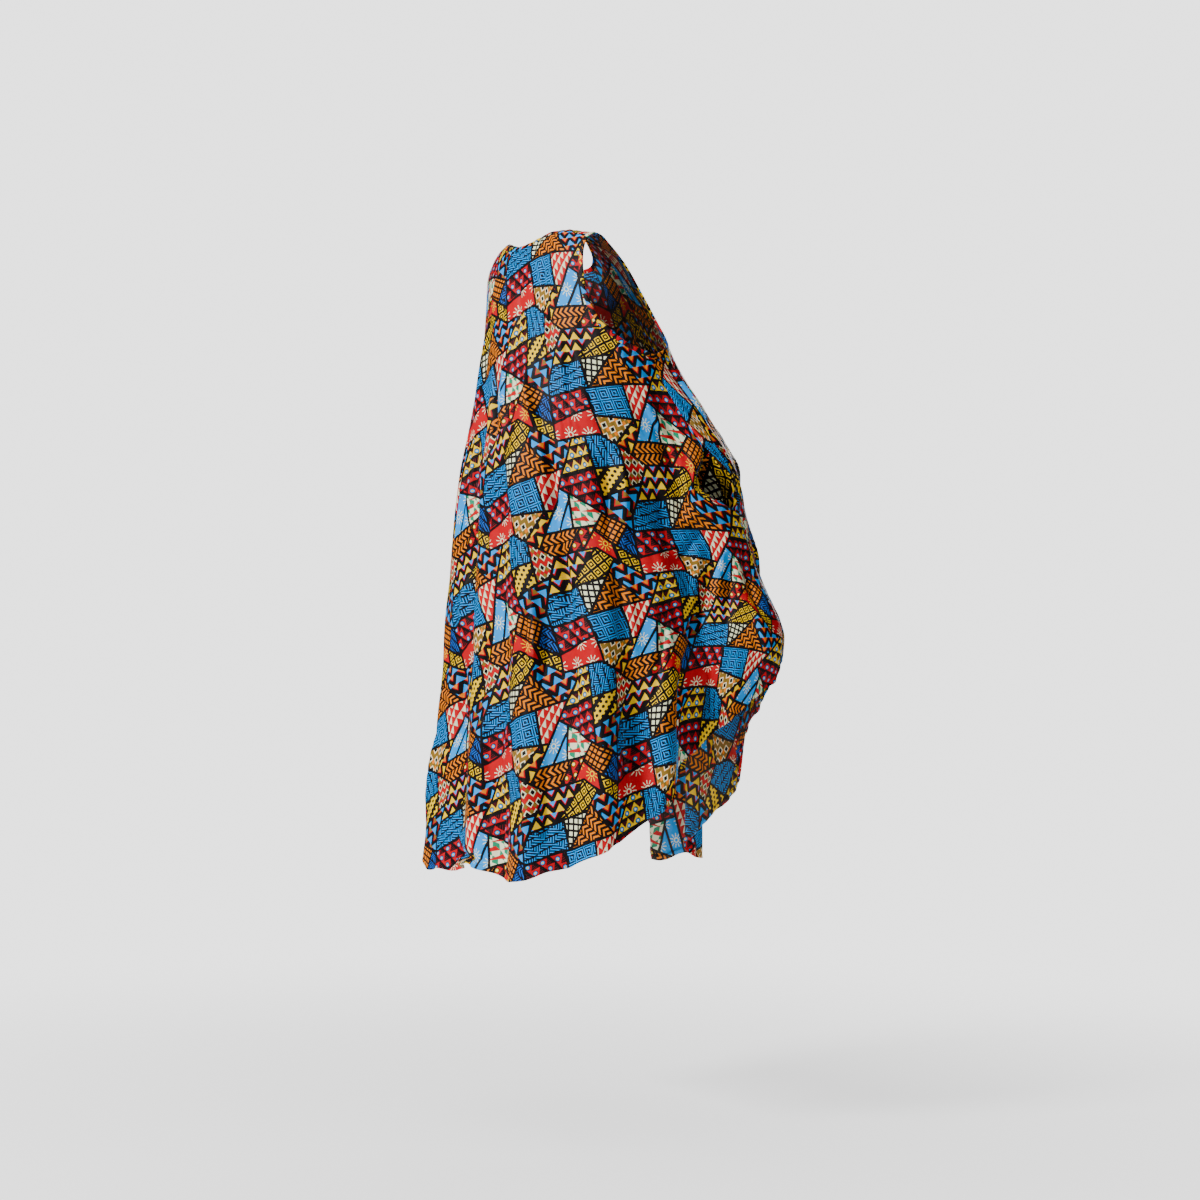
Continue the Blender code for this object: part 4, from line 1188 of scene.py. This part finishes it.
def stitching(name, lines, sizes):
    """Rows of stitches along lines of points and normals, as one piece."""
    bead, bead_faces = stitch_form(sizes)
    points, faces = [], []
    for line, normals in lines:
        for spot, ahead, facing in zip(*resampled(line, normals, sizes.stitch_step)):
            start = len(points) * len(bead)
            beside = np.cross(facing, ahead)
            points.append(spot + bead[:, :1] * ahead + bead[:, 1:2] * beside + bead[:, 2:] * facing)
            faces += [tuple(corner + start for corner in face) for face in bead_faces]
    worn(new_piece(name, np.concatenate(points), faces, sewing_thread()))


def bag_rings(mouth):
    """The middle of the pocket bag's wall: rings from the mouth down to the foot."""
    down = np.array(Vector(BAG_DIRECTION).normalized())
    half = len(mouth) // 2
    wide = mouth[half] - mouth[0]
    wide = unit(wide - down * (wide @ down))
    deep = np.cross(down, wide)
    deep = deep * np.sign((mouth[half // 2] - mouth[-(half // 2)]) @ deep)
    turn = np.linspace(0, 2 * math.pi, len(mouth), endpoint=False)[:, None]
    rings = []
    for step in np.linspace(0, 1, BAG_RINGS):
        narrow = math.sqrt(1 - max((step - BAG_ROUND_START) / (BAG_ROUND_END - BAG_ROUND_START), 0) ** 2)
        oval = (mouth.mean(axis=0) + down * BAG_LENGTH * step
                - np.cos(turn) * wide * BAG_HALF_WIDTH * narrow
                + np.sin(turn) * deep * BAG_HALF_DEPTH * narrow)
        share = ease(step / BAG_MOUTH_SHARE)
        rings.append((mouth + down * BAG_LENGTH * step) * (1 - share) + oval * share)
    return np.array(rings)


def slack_bag(rings):
    """The bag's rings with the slack of soft cloth, and the way that they face."""
    steps = unit(np.roll(rings, -1, axis=1) - rings)
    normals = unit(np.cross(np.gradient(rings, axis=0), steps + np.roll(steps, 1, axis=1)))
    centre = rings.mean(axis=1, keepdims=True)
    normals *= np.sign(((rings - centre) * normals).sum(axis=-1, keepdims=True))
    level, around = rings.shape[:2]
    turn = 2 * math.pi * np.arange(around) / around
    slack = BAG_SLACK * np.sin(BAG_SLACK_WAVES * turn + BAG_SLACK_TURN)[None, :]
    slack = slack * np.sin(np.linspace(0, BAG_SLACK_RUN, level))[:, None]
    slack = slack * ease(np.linspace(0, BAG_SLACK_START, level))[:, None]
    return rings + normals * slack[..., None], normals


def bag_shell(middle, normals):
    """The pocket bag as a thin closed shell, with the cloth's wrong side out."""
    level, around = middle.shape[:2]
    walls = [(middle + normals * shift).reshape(-1, 3) for shift in (BAG_WALL / 2, -BAG_WALL / 2)]
    faces = tube_faces(level, around, closed_along=False)
    ring, inner = np.arange(around), level * around
    last, beside = inner - around, (ring + 1) % around
    rim = np.stack((ring, beside, beside + inner, ring + inner), axis=1)
    wide = np.abs(np.linspace(-1, 1, around)) * BAG_HALF_WIDTH * 2
    places = np.stack(np.meshgrid(wide, np.linspace(0, BAG_LENGTH, level)), axis=-1).reshape(-1, 2)
    piece = cloth_piece("pocket_bag", np.concatenate(walls),
                        np.concatenate((faces, faces[:, ::-1] + inner, rim)),
                        np.tile(places, (2, 1)), np.repeat((1.0, 0.0), inner),
                        (last + ring, last + inner + ring[::-1]))
    outward(piece)
    return piece


# ---- The steps --------------------------------------------------------------


class DRESS_OT_panels(bpy.types.Operator):
    """Make the printed back and front panels"""

    bl_idname = "dress.panels"
    bl_label = "Panels"

    def execute(self, context):
        sizes = context.scene.dress_sizes
        for name, grid in zip(("back", "front"), dress_grids()):
            worn(panel_shell(name + "_cloth", grid, sizes.cloth_wall, sizes.hem_wall),
                 name + "_panel")
        return {"FINISHED"}


class DRESS_OT_strips(bpy.types.Operator):
    """Make the bias strips that bind the neck and armholes, with their stitches"""

    bl_idname = "dress.strips"
    bl_label = "Bound Edges"

    def execute(self, context):
        sizes = context.scene.dress_sizes
        for name, edge, normals in strip_edges(*dress_grids()):
            edge, normals = finer_loop(edge), unit(finer_loop(normals))
            lines = strip_lines(edge, normals, sizes)
            worn(bias_strip(name + "_strip", edge, lines, sizes),
                 "neck_binding" if name == "neck" else name.replace("armhole", "armhole_binding"))
            inside_place = len(lines) // 2 - 1 - STITCH_PLACE
            outside, inside = closed(lines[STITCH_PLACE]), closed(lines[inside_place])
            facing = closed(normals)
            stitching(name + "_stitches", ((outside, facing), (inside, -facing)), sizes)
        return {"FINISHED"}


class DRESS_OT_pocket(bpy.types.Operator):
    """Make the pocket bag in the right side seam, with the stitches beside its mouth"""

    bl_idname = "dress.pocket"
    bl_label = "Pocket"

    def execute(self, context):
        sizes = context.scene.dress_sizes
        back, front = dress_grids()
        top, foot = (back.row_at(row) for row in MOUTH_ROWS)
        down = np.arange(top, foot + 1)
        mouth = joined_loop((back.points - back.normals * BAG_INSET)[down, -1],
                            (front.points - front.normals * BAG_INSET)[down[::-1], 0])
        mouth += (mouth.mean(axis=0) - mouth) * BAG_MOUTH_SHRINK
        piece = bag_shell(*slack_bag(bag_rings(mouth)))
        worn(piece, "pocket_bag_right")
        lines = []
        for grid, share in ((back, 1 - MOUTH_STITCH), (front, MOUTH_STITCH - 1)):
            at = (down, grid.column_at(share))
            lines.append((grid.points[at] + grid.normals[at] * (sizes.cloth_wall / 2), grid.normals[at]))
        stitching("pocket_stitches", lines, sizes)
        return {"FINISHED"}


class DRESS_OT_hem(bpy.types.Operator):
    """Stitch the turned hem of both panels, inside and out"""

    bl_idname = "dress.hem"
    bl_label = "Hem Stitches"

    def execute(self, context):
        sizes = context.scene.dress_sizes
        for name, grid in zip(("back", "front"), dress_grids()):
            row = grid.row_at(ROW_COUNT - STITCH_ROW)
            line, facing = grid.points[row], grid.normals[row]
            outside = line + facing * sizes.cloth_wall / 2
            inside = line - facing * (sizes.cloth_wall / 2 + sizes.hem_wall)
            stitching(name + "_hem_stitches", ((outside, facing), (inside, -facing)), sizes)
        return {"FINISHED"}


class DRESS_OT_sheets(bpy.types.Operator):
    """A step for the flat cuts of the panels, which makes nothing"""

    bl_idname = "dress.sheets"
    bl_label = "Flat Cuts"

    def execute(self, context):
        return {"FINISHED"}


class DRESS_OT_stage(bpy.types.Operator):
    """Make the floor, the soft studio light and the camera"""

    bl_idname = "dress.stage"
    bl_label = "Studio"

    def execute(self, context):
        settings = context.scene.dress_studio
        self.floor(context, settings)
        self.world(context)
        self.camera(context, settings)
        for name, place, size, power in STUDIO_LIGHTS:
            light = bpy.data.lights.new(name, "AREA")
            light.size, light.energy = size, power
            self.aim(context, bpy.data.objects.new(name, light), Vector(place), Vector(LIGHT_AIM))
        return {"FINISHED"}

    def aim(self, context, item, place, target):
        """Put a light or the camera at a place, looking at a target."""
        item.location = place
        item.rotation_euler = (target - place).to_track_quat("-Z", "Y").to_euler()
        context.scene.collection.objects.link(item)

    def floor(self, context, settings):
        """A pale floor that fades into the light round it towards its rim."""
        bpy.ops.object.select_all(action="DESELECT")
        bpy.ops.mesh.primitive_circle_add(vertices=96, radius=FLOOR_FADE[1], fill_type="NGON",
                                          location=(0, 0, settings.floor_height))
        floor = context.object
        floor.name = "studio_floor"
        material, tree, shader = new_material("pale_floor", {
            "Base Color": (0.85, 0.85, 0.85, 1.0), "Emission Color": (1.0, 1.0, 1.0, 1.0),
            "Emission Strength": FLOOR_GLOW, "Roughness": 0.9})
        reach = new_node(tree, "VectorMath", new_node(tree, "TexCoord").outputs["Object"])
        reach.operation = "LENGTH"
        share = new_node(tree, "MapRange", reach.outputs["Value"])
        share.interpolation_type = "SMOOTHSTEP"
        share.inputs["From Min"].default_value, share.inputs["From Max"].default_value = FLOOR_FADE
        clear = new_node(tree, "BsdfTransparent")
        mix = new_node(tree, "MixShader", share.outputs[0], shader.outputs[0], clear.outputs[0])
        tree.links.new(mix.outputs[0], tree.nodes["Material Output"].inputs["Surface"])
        floor.data.materials.append(material)

    def world(self, context):
        """An even backdrop that looks bright and lights the dress a little."""
        world = bpy.data.worlds.new("studio")
        world.use_nodes = True
        tree = world.node_tree
        background = tree.nodes["Background"]
        background.inputs["Color"].default_value = (1.0, 1.0, 1.0, 1.0)
        shown = new_node(tree, "MapRange", new_node(tree, "LightPath").outputs["Is Camera Ray"])
        shown.inputs["To Min"].default_value = WORLD_LIGHT
        shown.inputs["To Max"].default_value = WORLD_SHOWN
        tree.links.new(shown.outputs[0], background.inputs["Strength"])
        context.scene.world = world

    def camera(self, context, settings):
        """A level camera, behind the wearer's right shoulder."""
        turn, target = settings.camera_azimuth, Vector(CAMERA_AIM)
        camera = bpy.data.objects.new("camera", bpy.data.cameras.new("camera"))
        camera.data.lens = settings.lens
        camera.data.sensor_width = 36.0
        back = Vector((math.sin(turn), -math.cos(turn), 0.0)) * settings.camera_distance
        self.aim(context, camera, target + back, target)
        context.scene.camera = camera


# ---- The sidebar and the run ------------------------------------------------


class DRESS_PT_sidebar(bpy.types.Panel):
    """The dress's settings and steps"""

    bl_idname = "DRESS_PT_sidebar"
    bl_label = "Wax Print Dress"
    bl_space_type = "VIEW_3D"
    bl_region_type = "UI"
    bl_category = "Dress"

    def draw(self, context):
        for name, _ in GROUPS:
            box, group = self.layout.box(), getattr(context.scene, name)
            for setting in group.bl_rna.properties.keys():
                if setting not in ("rna_type", "name"):
                    box.prop(group, setting)
        for step in STEPS:
            self.layout.operator(step.bl_idname)


STEPS = (DRESS_OT_panels, DRESS_OT_strips, DRESS_OT_pocket, DRESS_OT_hem, DRESS_OT_sheets, DRESS_OT_stage)
GROUPS = (("dress_sizes", DressSizes), ("dress_print", PrintSettings), ("dress_studio", StudioSettings))
CLASSES = (*(group for _, group in GROUPS), *STEPS, DRESS_PT_sidebar)


def register():
    """Register the classes and hang the settings on the scene."""
    for item in CLASSES:
        bpy.utils.register_class(item)
    for name, group in GROUPS:
        setattr(bpy.types.Scene, name, bpy.props.PointerProperty(type=group))


def unregister():
    """Take the settings off the scene and unregister the classes."""
    for name, _ in GROUPS:
        delattr(bpy.types.Scene, name)
    for item in reversed(CLASSES):
        bpy.utils.unregister_class(item)


def main():
    """Make every piece in order."""
    register()
    bpy.ops.dress.panels()
    bpy.ops.dress.strips()
    bpy.ops.dress.pocket()
    bpy.ops.dress.hem()
    bpy.ops.dress.sheets()
    bpy.ops.dress.stage()


if __name__ == "__main__":
    main()
